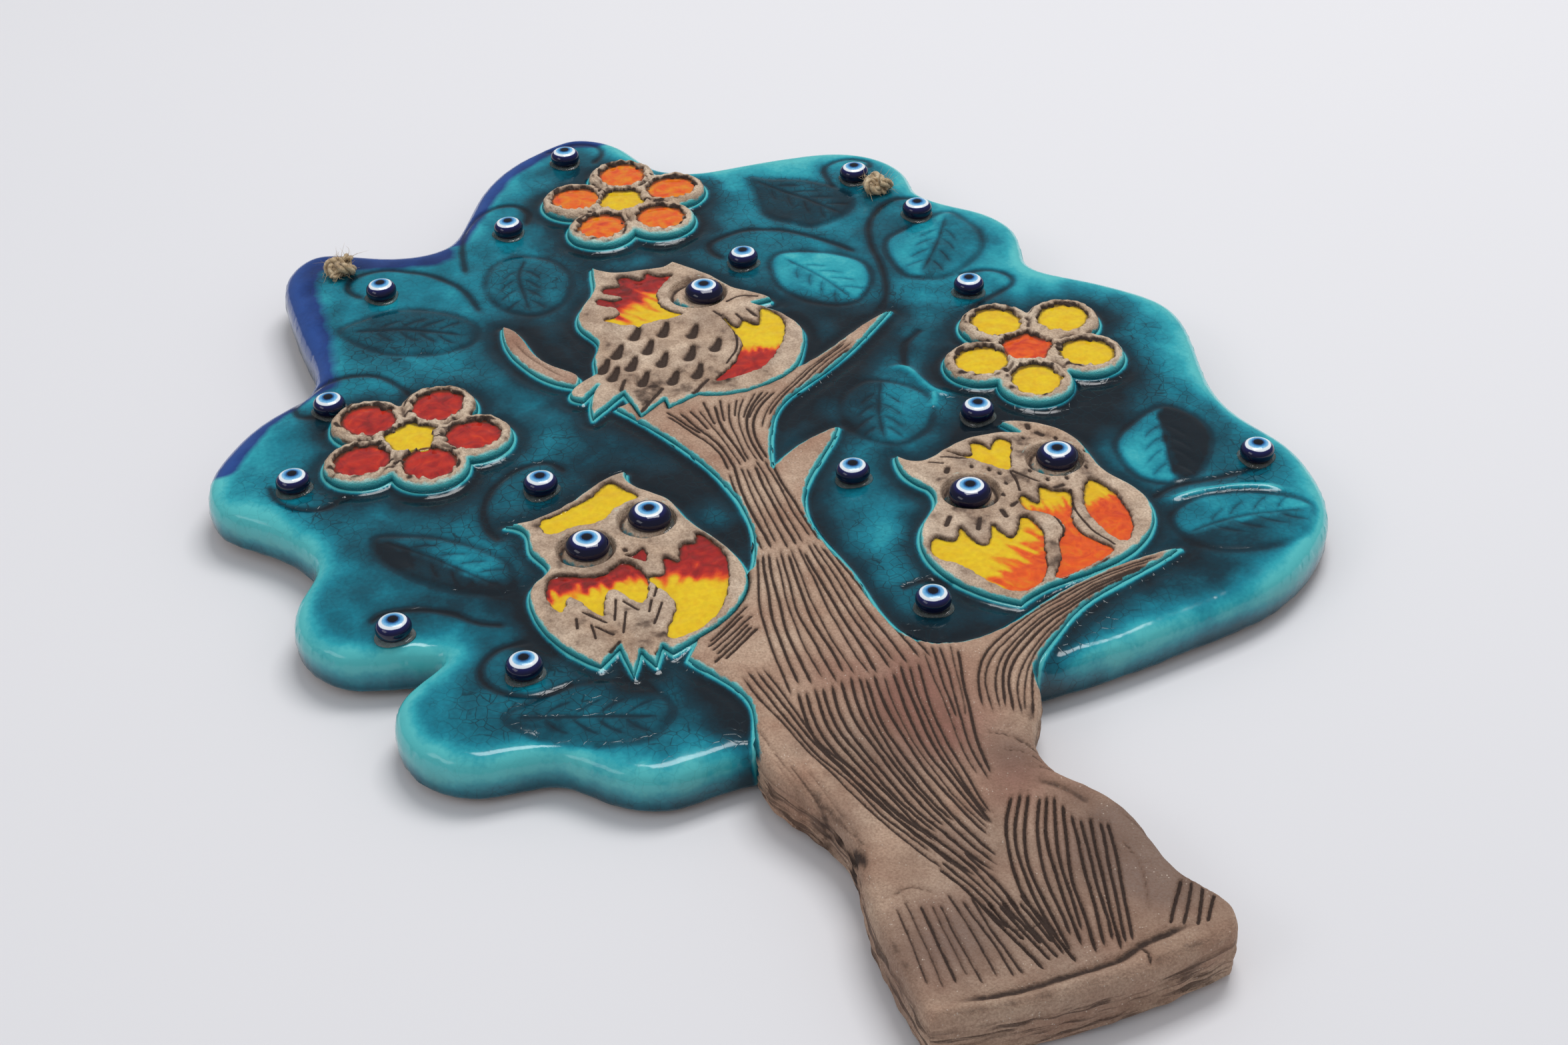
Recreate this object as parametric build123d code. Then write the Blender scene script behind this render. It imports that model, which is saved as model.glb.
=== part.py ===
from build123d import *
from math import cosh, cos, radians, sin
import os

# A ceramic wall plaque in the shape of a tree, drawn upright as it hangs.
# +X is to the right seen from the front, +Z is up and the front faces -Y.
# The flat back is the plane y = 0, and the origin is midway between the hanging holes.
# Every outline is a list of (x, z) points in mm; heights are measured from the back.

# Heights above the back
CROWN_FACE = 11.0
TRUNK_FACE = 13.0
OWL_FACE = 13.4
FLOWER_FACE = 14.0

# Edges and enamel cells
CROWN_ROUND = 3.0
BACK_ROUND = 0.8
CELL_DEPTH = 1.6
ENAMEL_DEPTH = 1.2

# Glass beads: widest radius, height, flat seat radius
CROWN_BEAD = (4.1, 4.4, 2.9)
EYE_BEAD = (5.1, 4.6, 3.6)
GLUE_THICK = 0.2
SOCKET_DEPTH = 1.8

# Jute cord and its two holes
CORD_R = 1.4
HOLE_R = 2.0
HOLE_X = 76.5
HOLE_Z = 3.2
CORD_Y = 1.9
CORD_DROP = 58.0
CORD_SAG = 1.6
KNOT_R = 3.3
KNOT_WRAP_R = 3.6
KNOT_WRAP_TILT = 18
KNOT_LIFT = 3.4

CROWN_OUTLINE = [
    (4, 61), (10, 57.5), (15, 51), (18.5, 41), (23, 33), (30, 29), (42, 28.3), (62, 28), (72, 26.5),
    (80, 22.5), (86.5, 15), (89, 5), (88.5, -5), (93.5, -14), (102, -23), (106.5, -35), (104.5, -46),
    (103.5, -55), (112, -65), (122, -75), (129.5, -87), (129.5, -100), (126, -115), (123.5, -130),
    (125, -142), (129.5, -155), (130, -169), (126, -184), (116, -196), (103, -204.5), (83, -210),
    (62, -214), (44, -216), (20, -218), (-10, -222), (-30, -221.5), (-45, -223), (-56, -217),
    (-65, -208.5), (-80, -207), (-91, -200), (-95, -189), (-90.5, -177), (-81.5, -169),
    (-92, -165.5), (-105, -160), (-110.5, -149), (-108.5, -137), (-103, -126), (-105.5, -116),
    (-115, -104), (-122, -96), (-123.5, -86), (-117, -72), (-105, -59.5), (-94, -51.5), (-91, -42),
    (-92, -25), (-93, -5), (-91, 10), (-82, 18), (-70, 14), (-58, 9), (-48, 10), (-40, 20),
    (-31, 38), (-20, 51), (-8, 58.5),
]

TRUNK_OUTLINE = [
    [(-17, -304.5), (-18, -290), (-17.5, -270), (-15.5, -256), (-19, -242), (-25, -229),
     (-24, -217), (-22.5, -208), (-26.5, -198), (-31, -190)],
    [(-31, -190), (-24, -180), (-8.5, -163.5)],
    [(-8.5, -163.5), (-4.8, -152), (-4, -140), (-7, -123), (-12.5, -108), (-22, -89.5)],
    [(-22, -89.5), (0, -84), (25, -87)],
    [(25, -87), (36, -81.5), (46, -74.5), (58, -68)],
    [(58, -68), (48, -78), (32, -91.5), (18, -101.5), (11.5, -113), (7.5, -127)],
    [(7.5, -127), (17, -119.5), (28, -115.5)],
    [(28, -115.5), (20, -127), (11.5, -140), (9.5, -154), (12.5, -172), (14, -190), (19.5, -201.5),
     (33, -203.5), (50, -196.5), (68, -190.5), (86, -188.5)],
    [(86, -188.5), (72, -194.5), (56, -201.5), (45, -210.5), (39, -217), (37, -225), (31, -236),
     (30, -247), (37, -258), (40.5, -270), (42.5, -284), (47.5, -294), (44.5, -302)],
    [(44.5, -302), (15, -306.5), (-17, -304.5)],
]

# The root block takes the slab's full depth below this line
ROOT_TOP = -205.0

LEFT_TWIG_OUTLINE = [
    [(-41, -42), (-42, -52), (-39.5, -63), (-34.5, -72), (-29, -76.5)],
    [(-29, -76.5), (-27.5, -72.5), (-32, -66), (-36.5, -54), (-38.5, -45), (-41, -42)],
]

OWL_TOP_OUTLINE = [
    [(-11.5, -20), (-7, -24.8), (0, -26.2), (6.5, -26.5), (10, -24.6)],
    [(10, -24.6), (12.5, -28), (18, -35.5), (21.5, -43), (26, -47.5), (30, -52.5)],
    [(30, -52.5), (24.5, -53.2)],
    [(24.5, -53.2), (30, -60.5), (33.2, -70), (30.5, -79), (25.5, -87), (16, -92), (6, -93), (-1, -90.5)],
    [(-1, -90.5), (-9.5, -94)],
    [(-9.5, -94), (-9.5, -90)],
    [(-9.5, -90), (-17, -95.5)],
    [(-17, -95.5), (-18.5, -83.5)],
    [(-18.5, -83.5), (-28.5, -92)],
    [(-28.5, -92), (-27, -84), (-24, -78.5)],
    [(-24, -78.5), (-29, -83.5)],
    [(-29, -83.5), (-31.5, -80), (-29, -76.5), (-23.5, -72.5), (-22, -66), (-19.3, -59),
     (-21.8, -50), (-19.5, -40.5), (-14, -32), (-12.6, -25), (-11.5, -20)],
]

OWL_LEFT_OUTLINE = [
    [(-26.5, -117.5), (-26.5, -123), (-20, -131.5), (-18, -139), (-14, -149.5), (-10.5, -160),
     (-10.8, -168), (-15, -175.5), (-26, -183.5)],
    [(-26, -183.5), (-33.5, -187)],
    [(-33.5, -187), (-35, -184)],
    [(-35, -184), (-38, -190)],
    [(-38, -190), (-40, -184.5)],
    [(-40, -184.5), (-43.5, -192)],
    [(-43.5, -192), (-44, -181.5)],
    [(-44, -181.5), (-49.5, -186.5)],
    [(-49.5, -186.5), (-57, -175), (-59.5, -163), (-57, -153.5), (-53, -149.5), (-55, -141),
     (-54.5, -134), (-58.5, -129)],
    [(-58.5, -129), (-48, -128.5), (-41, -124.8), (-34, -120), (-26.5, -117.5)],
]

OWL_RIGHT_OUTLINE = [
    [(36.8, -132.5), (41.5, -137), (50, -133.6), (59, -131.6), (68.3, -133.8)],
    [(68.3, -133.8), (65.5, -128)],
    [(65.5, -128), (74, -131.3), (80.5, -141), (81.5, -155), (86, -166), (85, -176), (78, -184.5),
     (67, -189.5), (52, -192.5), (44, -196)],
    [(44, -196), (35, -187), (30, -172), (33.5, -161), (38.5, -155), (39.5, -147.5)],
    [(39.5, -147.5), (36.2, -141), (36.8, -132.5)],
]

OWL_TOP_FLAME = [
    (-13.8, -48.5), (-10.3, -46.3), (-11, -44), (-14.8, -40.5), (-14.2, -37.8), (-9.5, -40.3),
    (-7.9, -39.8), (-11.8, -35.8), (-10.8, -33), (-7, -33.2), (-6.2, -28.8), (-4.2, -29),
    (-0.5, -32), (1.8, -28.8), (4, -31.5), (7.6, -32.2), (3.2, -37.5), (1, -43), (2.2, -49.5),
    (5, -53), (-2, -54.4), (-10, -53.4),
]
OWL_TOP_BREAST = [
    (15.4, -60), (18, -63.5), (19.6, -61.3), (22.2, -64.5), (24.3, -60.5), (26, -57), (28.6, -60.5),
    (29.2, -67), (25.5, -75.5), (20.5, -82.3), (12, -87), (4.8, -87), (10.5, -81.5), (14.8, -75),
    (16, -67),
]
OWL_LEFT_BROW = [
    (-49.8, -130.8), (-42, -128), (-36, -124.6), (-31.5, -121.3), (-28.5, -125.5), (-26.5, -128.8),
    (-32, -131.6), (-37, -135.6), (-44, -136), (-49.8, -137), (-50.8, -134),
]
OWL_LEFT_WING_NEAR = [
    (-54.3, -155.5), (-52, -153), (-46.5, -155), (-41, -155.6), (-36, -153), (-33.3, -156.5),
    (-33.2, -165), (-35.6, -168.8), (-38.6, -165), (-41, -162.2), (-43.2, -164.5), (-45.2, -170.8),
    (-48.2, -165), (-50.8, -161.5), (-53.4, -166.5), (-55.4, -161),
]
OWL_LEFT_WING_FAR = [
    (-30.2, -160.3), (-28.2, -160), (-26.6, -154.2), (-24.2, -156.8), (-22.3, -152), (-20.4, -150.6),
    (-18.6, -151.2), (-17.4, -148.2), (-14.2, -153.5), (-13.4, -160), (-16, -169.5), (-20, -177),
    (-26.5, -182), (-33, -183), (-30.8, -176.5), (-28.8, -170),
]
OWL_LEFT_BEAK = [
    (-34.6, -151), (-32.4, -150.4), (-30.7, -149.2), (-30.4, -152.5), (-31.2, -154.3), (-33, -153),
]
OWL_RIGHT_BROW = [
    (50.6, -138), (54.3, -138.4), (55.6, -134.6), (57.4, -135.4), (59, -138.2), (62, -135),
    (64, -136.2), (62.8, -142), (60, -148), (56, -144.5),
]
OWL_RIGHT_CHEST = [
    (32.2, -170), (34.6, -168), (37.8, -170.2), (40.8, -166), (41.8, -171), (44, -174.2),
    (46.6, -171), (48.2, -167.4), (50.4, -173.2), (53.2, -171), (56, -166.5), (58.2, -172),
    (56.4, -179), (53.8, -187), (50, -191.6), (45.8, -193), (39.5, -186.5), (35, -178.5),
]
OWL_RIGHT_BELLY = [
    (57.8, -161), (59, -158.8), (61.4, -163), (64.4, -156.8), (66.4, -159.2), (69, -160.4),
    (66.9, -170), (67.8, -180), (70.6, -184.8), (63, -189), (54.6, -190.6), (58.8, -183.5),
    (60.6, -178), (63, -175.5), (62, -168),
]
OWL_RIGHT_WING = [
    (77, -158.6), (79.5, -163.5), (79.8, -172), (77.5, -180.5), (74.4, -183.4), (71.8, -178),
    (71, -169), (73.4, -162),
]

# Flowers: centre, then each petal's direction in degrees and distance from the centre
FLOWERS = {
    "flower_top": ((5.1, 12.2), [(76, 14.9), (8, 15.4), (-59, 15.6), (-125, 15.6), (157, 13.2)]),
    "flower_left": ((-73.2, -87), [(53, 15), (128, 14), (205, 14.3), (281, 12.8), (345, 15.4)]),
    "flower_right": ((84, -99.5), [(36, 17.4), (102, 14.3), (189, 13.4), (257, 15.4), (331, 15.4)]),
}
PETAL_R = 9.7
PETAL_CELL = (6.2, 5.6)
FLOWER_HEART_R = 10.5
HEART_CELL_R = (6.0, 4.9)

CROWN_BEADS = [
    (-4, 44.5), (-28.6, 8.6), (-68.2, -13.3), (-90, -64.7), (-103.4, -95.3), (-47.2, -116.2),
    (-90, -159.2), (-65.4, -181.9), (28.7, -29.8), (72.7, 5.9), (82.6, -20.5), (81.5, -64.5),
    (62, -121.7), (24.8, -136.2), (118.7, -160.5), (25.9, -189),
]

# Owl eyes: bead centre, socket centre, socket radius
EYES = {
    "owl_top_eye": ((13.5, -45), (11.8, -44.2), 7.8),
    "owl_left_eye_1": ((-42.5, -145), (-43, -145.5), 6.9),
    "owl_left_eye_2": ((-26, -138.7), (-27, -139.2), 7.0),
    "owl_right_eye_1": ((47.6, -154.7), (48.1, -154), 7.0),
    "owl_right_eye_2": ((72.5, -147.7), (71.7, -148), 6.9),
}


def closed_face(runs):
    """Front-view face; a single list of points is one smooth loop, a list of runs has corners."""
    if isinstance(runs[0], tuple):
        return make_face(Plane.XZ * Spline(*runs, periodic=True))
    edges = []
    for run in runs:
        if len(run) == 2:
            edges.append(Line(*run))
        else:
            edges.append(Spline(*run))
    return make_face(Plane.XZ * Curve(edges))


def raised(face, low, high):
    """Solid over a front-view face, between two heights above the back."""
    return Pos(0, -low, 0) * extrude(face, high - low, dir=(0, -1, 0))


def disc(centre, radius, low, high):
    """Round plate at a front-view place, between two heights above the back."""
    x, z = centre
    return raised(Plane.XZ * Pos(x, z) * Circle(radius), low, high)


def outer_edges(solid, height):
    """The edges that lie flat in the plane at this height."""
    found = ShapeList()
    for edge in solid.edges():
        box = edge.bounding_box()
        if abs(box.min.Y + height) < 0.01 and abs(box.max.Y + height) < 0.01:
            found.append(edge)
    return found


def petal_places(name):
    centre, petals = FLOWERS[name]
    places = []
    for angle, reach in petals:
        x = centre[0] + reach * cos(radians(angle))
        z = centre[1] + reach * sin(radians(angle))
        places.append((x, z, angle))
    return places


def petal_cell_face(x, z, angle):
    long_r, wide_r = PETAL_CELL
    return Plane.XZ * Pos(x, z) * Rot(0, 0, angle) * Ellipse(long_r, wide_r)


def heart_cell_face(name):
    """Soft five-pointed cell in the middle of a flower."""
    centre, petals = FLOWERS[name]
    far, near = HEART_CELL_R
    points = []
    for k in range(10):
        angle = radians(petals[0][0] + 36 + 36 * k)
        reach = far if k % 2 == 0 else near
        points.append((centre[0] + reach * cos(angle), centre[1] + reach * sin(angle)))
    return closed_face(points)


def flower(name):
    """Clay flower with five petal cells and a heart cell."""
    body = disc(FLOWERS[name][0], FLOWER_HEART_R, CROWN_FACE, FLOWER_FACE)
    for x, z, angle in petal_places(name):
        body += disc((x, z), PETAL_R, CROWN_FACE, FLOWER_FACE)
    floor = FLOWER_FACE - CELL_DEPTH
    for place in petal_places(name):
        body -= raised(petal_cell_face(*place), floor, FLOWER_FACE)
    return body - raised(heart_cell_face(name), floor, FLOWER_FACE)


def enamel(face, top):
    """Pool of enamel that fills a cell from its floor to just below the rim."""
    floor = top - CELL_DEPTH
    return raised(face, floor, floor + ENAMEL_DEPTH)


def owl(outline, cells, eyes):
    """Clay owl with enamel cells and round eye sockets."""
    body = raised(closed_face(outline), CROWN_FACE, OWL_FACE)
    for cell in cells:
        body -= raised(closed_face(cell), OWL_FACE - CELL_DEPTH, OWL_FACE)
    for eye in eyes:
        socket, radius = EYES[eye][1:]
        body -= disc(socket, radius, OWL_FACE - SOCKET_DEPTH, OWL_FACE)
    return body


def bead(centre, form, seat_height):
    """Domed glass bead on its glue seat, the eye facing forward."""
    radius, height, seat = form
    x, z = centre
    side = Spline((seat, 0), (radius, height * 0.42), (0, height), tangents=[(1, 0.6), (-1, 0)])
    rim = Line((0, height), (0, 0))
    base = Line((0, 0), (seat, 0))
    profile = make_face(Plane.XZ * Curve([side, rim, base]))
    turned = revolve(profile, Axis.Z, 360)
    return Pos(x, -seat_height - GLUE_THICK, z) * Rot(90, 0, 0) * turned


def cord_curve():
    """Slack cord between the two hole mouths, drooping down the back."""
    points = []
    for k in range(13):
        t = k / 6 - 1
        droop = CORD_DROP * (cosh(CORD_SAG) - cosh(CORD_SAG * t)) / (cosh(CORD_SAG) - 1)
        points.append((t * HOLE_X, CORD_Y, -t * HOLE_Z - droop))
    return Spline(*points)


def hanging_cord():
    path = cord_curve()
    cord = sweep(Plane(origin=path @ 0, z_dir=path % 0) * Circle(CORD_R), path=path)
    return cord + Pos(*(path @ 0)) * Sphere(CORD_R) + Pos(*(path @ 1)) * Sphere(CORD_R)


def knot(side, turn):
    """Knot on the front with one raised wrap, and the cord's end down through the hole."""
    wrap = Rot(0, turn, 0) * Rot(90 + KNOT_WRAP_TILT, 0, 0) * Torus(KNOT_WRAP_R, CORD_R)
    lump = Pos(0, -CROWN_FACE - KNOT_LIFT, 0) * (Sphere(KNOT_R) + wrap)
    back_end = CORD_Y - CORD_R - 0.1
    tail_length = back_end + CROWN_FACE + KNOT_LIFT
    tail = Pos(0, back_end - tail_length / 2, 0) * Rot(90, 0, 0) * Cylinder(CORD_R, tail_length)
    return Pos(side * HOLE_X, 0, -side * HOLE_Z) * (lump + tail)


# Clay reliefs
owl_top = owl(OWL_TOP_OUTLINE, [OWL_TOP_FLAME, OWL_TOP_BREAST], ["owl_top_eye"])
owl_left_cells = [OWL_LEFT_BROW, OWL_LEFT_WING_NEAR, OWL_LEFT_WING_FAR, OWL_LEFT_BEAK]
owl_left = owl(OWL_LEFT_OUTLINE, owl_left_cells, ["owl_left_eye_1", "owl_left_eye_2"])
owl_right_cells = [OWL_RIGHT_BROW, OWL_RIGHT_CHEST, OWL_RIGHT_BELLY, OWL_RIGHT_WING]
owl_right = owl(OWL_RIGHT_OUTLINE, owl_right_cells, ["owl_right_eye_1", "owl_right_eye_2"])

# Trunk: thin relief over the crown, full slab depth in the root block
trunk_face = closed_face(TRUNK_OUTLINE)
whole_trunk = raised(trunk_face, 0, TRUNK_FACE)
upper_space = Pos(0, -CROWN_FACE / 2, ROOT_TOP + 200) * Box(400, CROWN_FACE, 400)
trunk = whole_trunk - upper_space
for outline in (OWL_TOP_OUTLINE, OWL_LEFT_OUTLINE, OWL_RIGHT_OUTLINE):
    trunk -= raised(closed_face(outline), CROWN_FACE, OWL_FACE)

left_twig = raised(closed_face(LEFT_TWIG_OUTLINE), CROWN_FACE, TRUNK_FACE)
left_twig -= raised(closed_face(OWL_TOP_OUTLINE), CROWN_FACE, OWL_FACE)

# Crown slab, rounded at the front rim, with the root block let in and the two cord holes
crown_slab = raised(closed_face(CROWN_OUTLINE), 0, CROWN_FACE)
crown_slab = fillet(outer_edges(crown_slab, CROWN_FACE), CROWN_ROUND)
crown_slab = fillet(outer_edges(crown_slab, 0), BACK_ROUND)
crown_slab -= trunk
for side in (-1, 1):
    crown_slab -= disc((side * HOLE_X, -side * HOLE_Z), HOLE_R, 0, CROWN_FACE)

nodes = {
    "crown_slab": crown_slab,
    "trunk": trunk,
    "left_twig": left_twig,
    "owl_top": owl_top,
    "owl_left": owl_left,
    "owl_right": owl_right,
    "owl_top_flame": enamel(closed_face(OWL_TOP_FLAME), OWL_FACE),
    "owl_top_breast": enamel(closed_face(OWL_TOP_BREAST), OWL_FACE),
    "owl_left_brow": enamel(closed_face(OWL_LEFT_BROW), OWL_FACE),
    "owl_left_wing_near": enamel(closed_face(OWL_LEFT_WING_NEAR), OWL_FACE),
    "owl_left_wing_far": enamel(closed_face(OWL_LEFT_WING_FAR), OWL_FACE),
    "owl_left_beak": enamel(closed_face(OWL_LEFT_BEAK), OWL_FACE),
    "owl_right_brow": enamel(closed_face(OWL_RIGHT_BROW), OWL_FACE),
    "owl_right_chest": enamel(closed_face(OWL_RIGHT_CHEST), OWL_FACE),
    "owl_right_belly": enamel(closed_face(OWL_RIGHT_BELLY), OWL_FACE),
    "owl_right_wing": enamel(closed_face(OWL_RIGHT_WING), OWL_FACE),
    "hanging_cord": hanging_cord(),
    "knot_left": knot(-1, 20),
    "knot_right": knot(1, -35),
}

for name in FLOWERS:
    nodes[name] = flower(name)
    petal_pools = [enamel(petal_cell_face(*place), FLOWER_FACE) for place in petal_places(name)]
    nodes[name + "_petals"] = Compound(children=petal_pools)
    nodes[name + "_centre"] = enamel(heart_cell_face(name), FLOWER_FACE)

glue = []
for number, place in enumerate(CROWN_BEADS, start=1):
    nodes[f"crown_bead_{number:02d}"] = bead(place, CROWN_BEAD, CROWN_FACE)
    glue.append(disc(place, CROWN_BEAD[2], CROWN_FACE, CROWN_FACE + GLUE_THICK))
for name, (place, socket, radius) in EYES.items():
    floor = OWL_FACE - SOCKET_DEPTH
    nodes[name] = bead(place, EYE_BEAD, floor)
    glue.append(disc(place, EYE_BEAD[2], floor, floor + GLUE_THICK))
nodes["bead_adhesive"] = Compound(children=glue)

for name, shape in nodes.items():
    export_step(shape, f"parts/{name}.step")
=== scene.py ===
# A glazed ceramic tree plaque: combed clay trunk, carved owls and flowers, pooled turquoise glaze,
# enamel cells, glass eye beads and a jute cord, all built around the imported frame.
from math import cos, pi, radians, sin

import bpy
import numpy as np
from mathutils import Matrix, Vector
from mathutils.geometry import delaunay_2d_cdt


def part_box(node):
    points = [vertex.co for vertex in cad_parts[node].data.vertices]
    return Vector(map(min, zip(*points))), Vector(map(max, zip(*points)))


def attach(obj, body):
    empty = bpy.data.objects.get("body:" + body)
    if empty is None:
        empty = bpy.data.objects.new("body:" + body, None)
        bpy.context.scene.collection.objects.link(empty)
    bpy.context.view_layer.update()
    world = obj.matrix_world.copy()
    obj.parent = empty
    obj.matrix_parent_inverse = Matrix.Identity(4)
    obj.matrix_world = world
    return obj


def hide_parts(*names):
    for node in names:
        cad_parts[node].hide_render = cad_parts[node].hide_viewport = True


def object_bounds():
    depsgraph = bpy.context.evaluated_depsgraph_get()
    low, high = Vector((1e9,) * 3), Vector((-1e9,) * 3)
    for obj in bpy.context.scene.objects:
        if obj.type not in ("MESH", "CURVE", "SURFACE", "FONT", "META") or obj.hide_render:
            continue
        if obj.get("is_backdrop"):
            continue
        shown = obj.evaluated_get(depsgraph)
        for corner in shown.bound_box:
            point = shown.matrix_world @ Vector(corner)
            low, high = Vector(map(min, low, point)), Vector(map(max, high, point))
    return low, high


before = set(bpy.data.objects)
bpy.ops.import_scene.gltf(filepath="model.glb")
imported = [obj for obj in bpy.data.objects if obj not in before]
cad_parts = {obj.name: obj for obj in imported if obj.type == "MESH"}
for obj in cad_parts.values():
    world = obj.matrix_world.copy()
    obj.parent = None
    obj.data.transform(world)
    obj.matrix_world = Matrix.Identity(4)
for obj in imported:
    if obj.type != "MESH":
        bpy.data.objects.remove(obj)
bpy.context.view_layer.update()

MM = 0.001


def face_height(node):
    """Height of a CAD node's front above the plaque's flat back, in mm."""
    return -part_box(node)[0].y / MM


CROWN_TOP = face_height("crown_slab")
TRUNK_TOP = face_height("trunk")
OWL_TOP = face_height("owl_top")
FLOWER_TOP = face_height("flower_top")
ROOT_LINE = -205.0
CLAY_FOOT = CROWN_TOP - 1.2

# ---------------------------------------------------------------- lines and areas in the front view


def section(node, height):
    """Outlines (x, z in mm), largest first, where a CAD node is cut at this height above the back."""
    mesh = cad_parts[node].data
    mesh.calc_loop_triangles()
    places = np.empty(len(mesh.vertices) * 3)
    mesh.vertices.foreach_get("co", places)
    points, index = np.unique(np.round(places.reshape(-1, 3) / MM, 4), axis=0, return_inverse=True)
    corners = np.empty(len(mesh.loop_triangles) * 3, int)
    mesh.loop_triangles.foreach_get("vertices", corners)
    triangles = index.reshape(-1)[corners].reshape(-1, 3)
    above = -points[:, 1] > height
    links = {}
    for a, b, c in triangles[above[triangles].sum(1) % 3 > 0]:
        sides = ((a, b), (b, c), (c, a))
        cut = [tuple(sorted(pair)) for pair in sides if above[pair[0]] != above[pair[1]]]
        links.setdefault(cut[0], []).append(cut[1])
        links.setdefault(cut[1], []).append(cut[0])
    loops = []
    while links:
        edge = next(iter(links))
        chain = []
        while edge in links:
            chain.append(edge)
            following = [other for other in links.pop(edge) if other in links]
            if not following:
                break
            edge = following[0]
        first, last = points[[e[0] for e in chain]], points[[e[1] for e in chain]]
        share = (height + first[:, 1]) / (first[:, 1] - last[:, 1])
        loop = (first + share[:, None] * (last - first))[:, [0, 2]]
        loops.append(loop if area(loop) > 0 else loop[::-1])
    return sorted(loops, key=area, reverse=True)


def area(loop):
    x, z = loop.T
    return 0.5 * float(np.sum(x * np.roll(z, -1) - z * np.roll(x, -1)))


def lengths_along(path):
    """How far along the path each of its points lies."""
    return np.r_[0, np.cumsum(np.linalg.norm(np.diff(path, axis=0), axis=1))]


def divide(line, step, closed=True):
    """The same line with evenly spaced points."""
    line = np.asarray(line, float)
    path = np.vstack([line, line[:1]]) if closed else line
    run = lengths_along(path)
    count = max(3, round(run[-1] / step))
    at = np.linspace(0, run[-1], count if closed else count + 1, endpoint=not closed)
    return np.stack([np.interp(at, run, path[:, k]) for k in range(path.shape[1])], 1)


def turned(x, z, angle):
    """The place or places after a turn about the origin."""
    return np.array([x * cos(angle) - z * sin(angle), x * sin(angle) + z * cos(angle)])


def smooth(points, step=0.5, closed=False):
    """Curve through given points."""
    p = np.asarray(points, float)
    if len(p) == 2:
        return divide(p, step, False)
    if closed:
        p = np.vstack([p[-1:], p, p[:2]])
    else:
        p = np.vstack([2 * p[:1] - p[1:2], p, 2 * p[-1:] - p[-2:-1]])
    t = np.linspace(0, 1, 10, endpoint=False)[:, None]
    parts = []
    for a, b, c, d in zip(p, p[1:], p[2:], p[3:]):
        bend = (2 * a - 5 * b + 4 * c - d) * t**2 + (3 * b - a - 3 * c + d) * t**3
        parts.append(0.5 * (2 * b + (c - a) * t + bend))
    if not closed:
        parts.append(p[-2:-1])
    return divide(np.vstack(parts), step, closed)


def gap(points, line, reach, closed=False):
    """Distance from each point to a line, at most reach, and where along the line it is met, 0 to 1."""
    starts = line if closed else line[:-1]
    ends = np.roll(line, -1, 0) if closed else line[1:]
    found = np.full(len(points), float(reach))
    along = np.zeros(len(points))
    for k in range(0, len(starts), 24):
        a, b = starts[k:k + 24], ends[k:k + 24]
        low, high = np.minimum(a, b).min(0) - reach, np.maximum(a, b).max(0) + reach
        near = np.flatnonzero(((points > low) & (points < high)).all(1))
        if not len(near):
            continue
        reach_to = points[near][:, None] - a
        run = b - a
        t = ((reach_to * run).sum(2) / np.maximum((run * run).sum(1), 1e-12)).clip(0, 1)
        distances = np.linalg.norm(reach_to - t[..., None] * run, axis=2)
        best = distances.argmin(1)
        rows = np.arange(len(near))
        closer = distances[rows, best] < found[near]
        found[near[closer]] = distances[rows, best][closer]
        along[near[closer]] = ((k + best + t[rows, best]) / len(starts))[closer]
    return found, along


def inside(points, loop):
    """True for the points inside a closed outline."""
    found = np.zeros(len(points), bool)
    near = np.flatnonzero(((points > loop.min(0)) & (points < loop.max(0))).all(1))
    x, z = points[near].T
    crossings = np.zeros(len(near), int)
    for (ax, az), (bx, bz) in zip(loop, np.roll(loop, -1, 0)):
        if az != bz:
            crossings += ((az > z) != (bz > z)) & (x < (bx - ax) * (z - az) / (bz - az) + ax)
    found[near] = crossings % 2 == 1
    return found


def depth_in(points, loop, reach):
    """Signed distance to an outline: positive inside, at most reach either way."""
    away = gap(points, loop, reach, closed=True)[0]
    return np.where(inside(points, loop), away, -away)


def step_up(low, high, value):
    """Smooth rise from 0 at low to 1 at high."""
    t = ((value - low) / (high - low)).clip(0, 1)
    return t * t * (3 - 2 * t)


def bell(value, width):
    """1 where the value is 0, falling smoothly to a third at this width."""
    return np.exp(-(value / width) ** 2)


def uneven(points, size, seed):
    """Smooth unevenness, mostly between -1 and 1, with lumps of about this size in mm."""
    draw = np.random.default_rng(seed)
    total = np.zeros(len(points))
    for _ in range(12):
        angle, pace, start = draw.uniform(0, 2 * pi), draw.uniform(0.5, 1.6), draw.uniform(0, 2 * pi)
        way = np.array([cos(angle), sin(angle)]) * 2 * pi * pace / size
        total += np.sin(points[:, :2] @ way + start)
    return total / 3.5


def blobs(points, spots):
    """Sum of soft round spots, each (x, z, radius, amount)."""
    total = np.zeros(len(points))
    for x, z, radius, amount in spots:
        total += amount * np.exp(-((points[:, 0] - x) ** 2 + (points[:, 1] - z) ** 2) / radius**2)
    return total


def press(points, lines, width, ends=0.12, taper=0.0):
    """How strongly a rounded tool mark along these lines presses each point, 0 to 1."""
    total = np.zeros(len(points))
    for line in lines:
        away, along = gap(points, line, 2.6 * width)
        fade = step_up(0, ends, along) * step_up(0, ends, 1 - along) * 0.85 + 0.15 if ends else 1.0
        total = np.maximum(total, np.exp(-(away / (width * (1 - taper * along))) ** 2 * 1.4) * fade)
    return total


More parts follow.
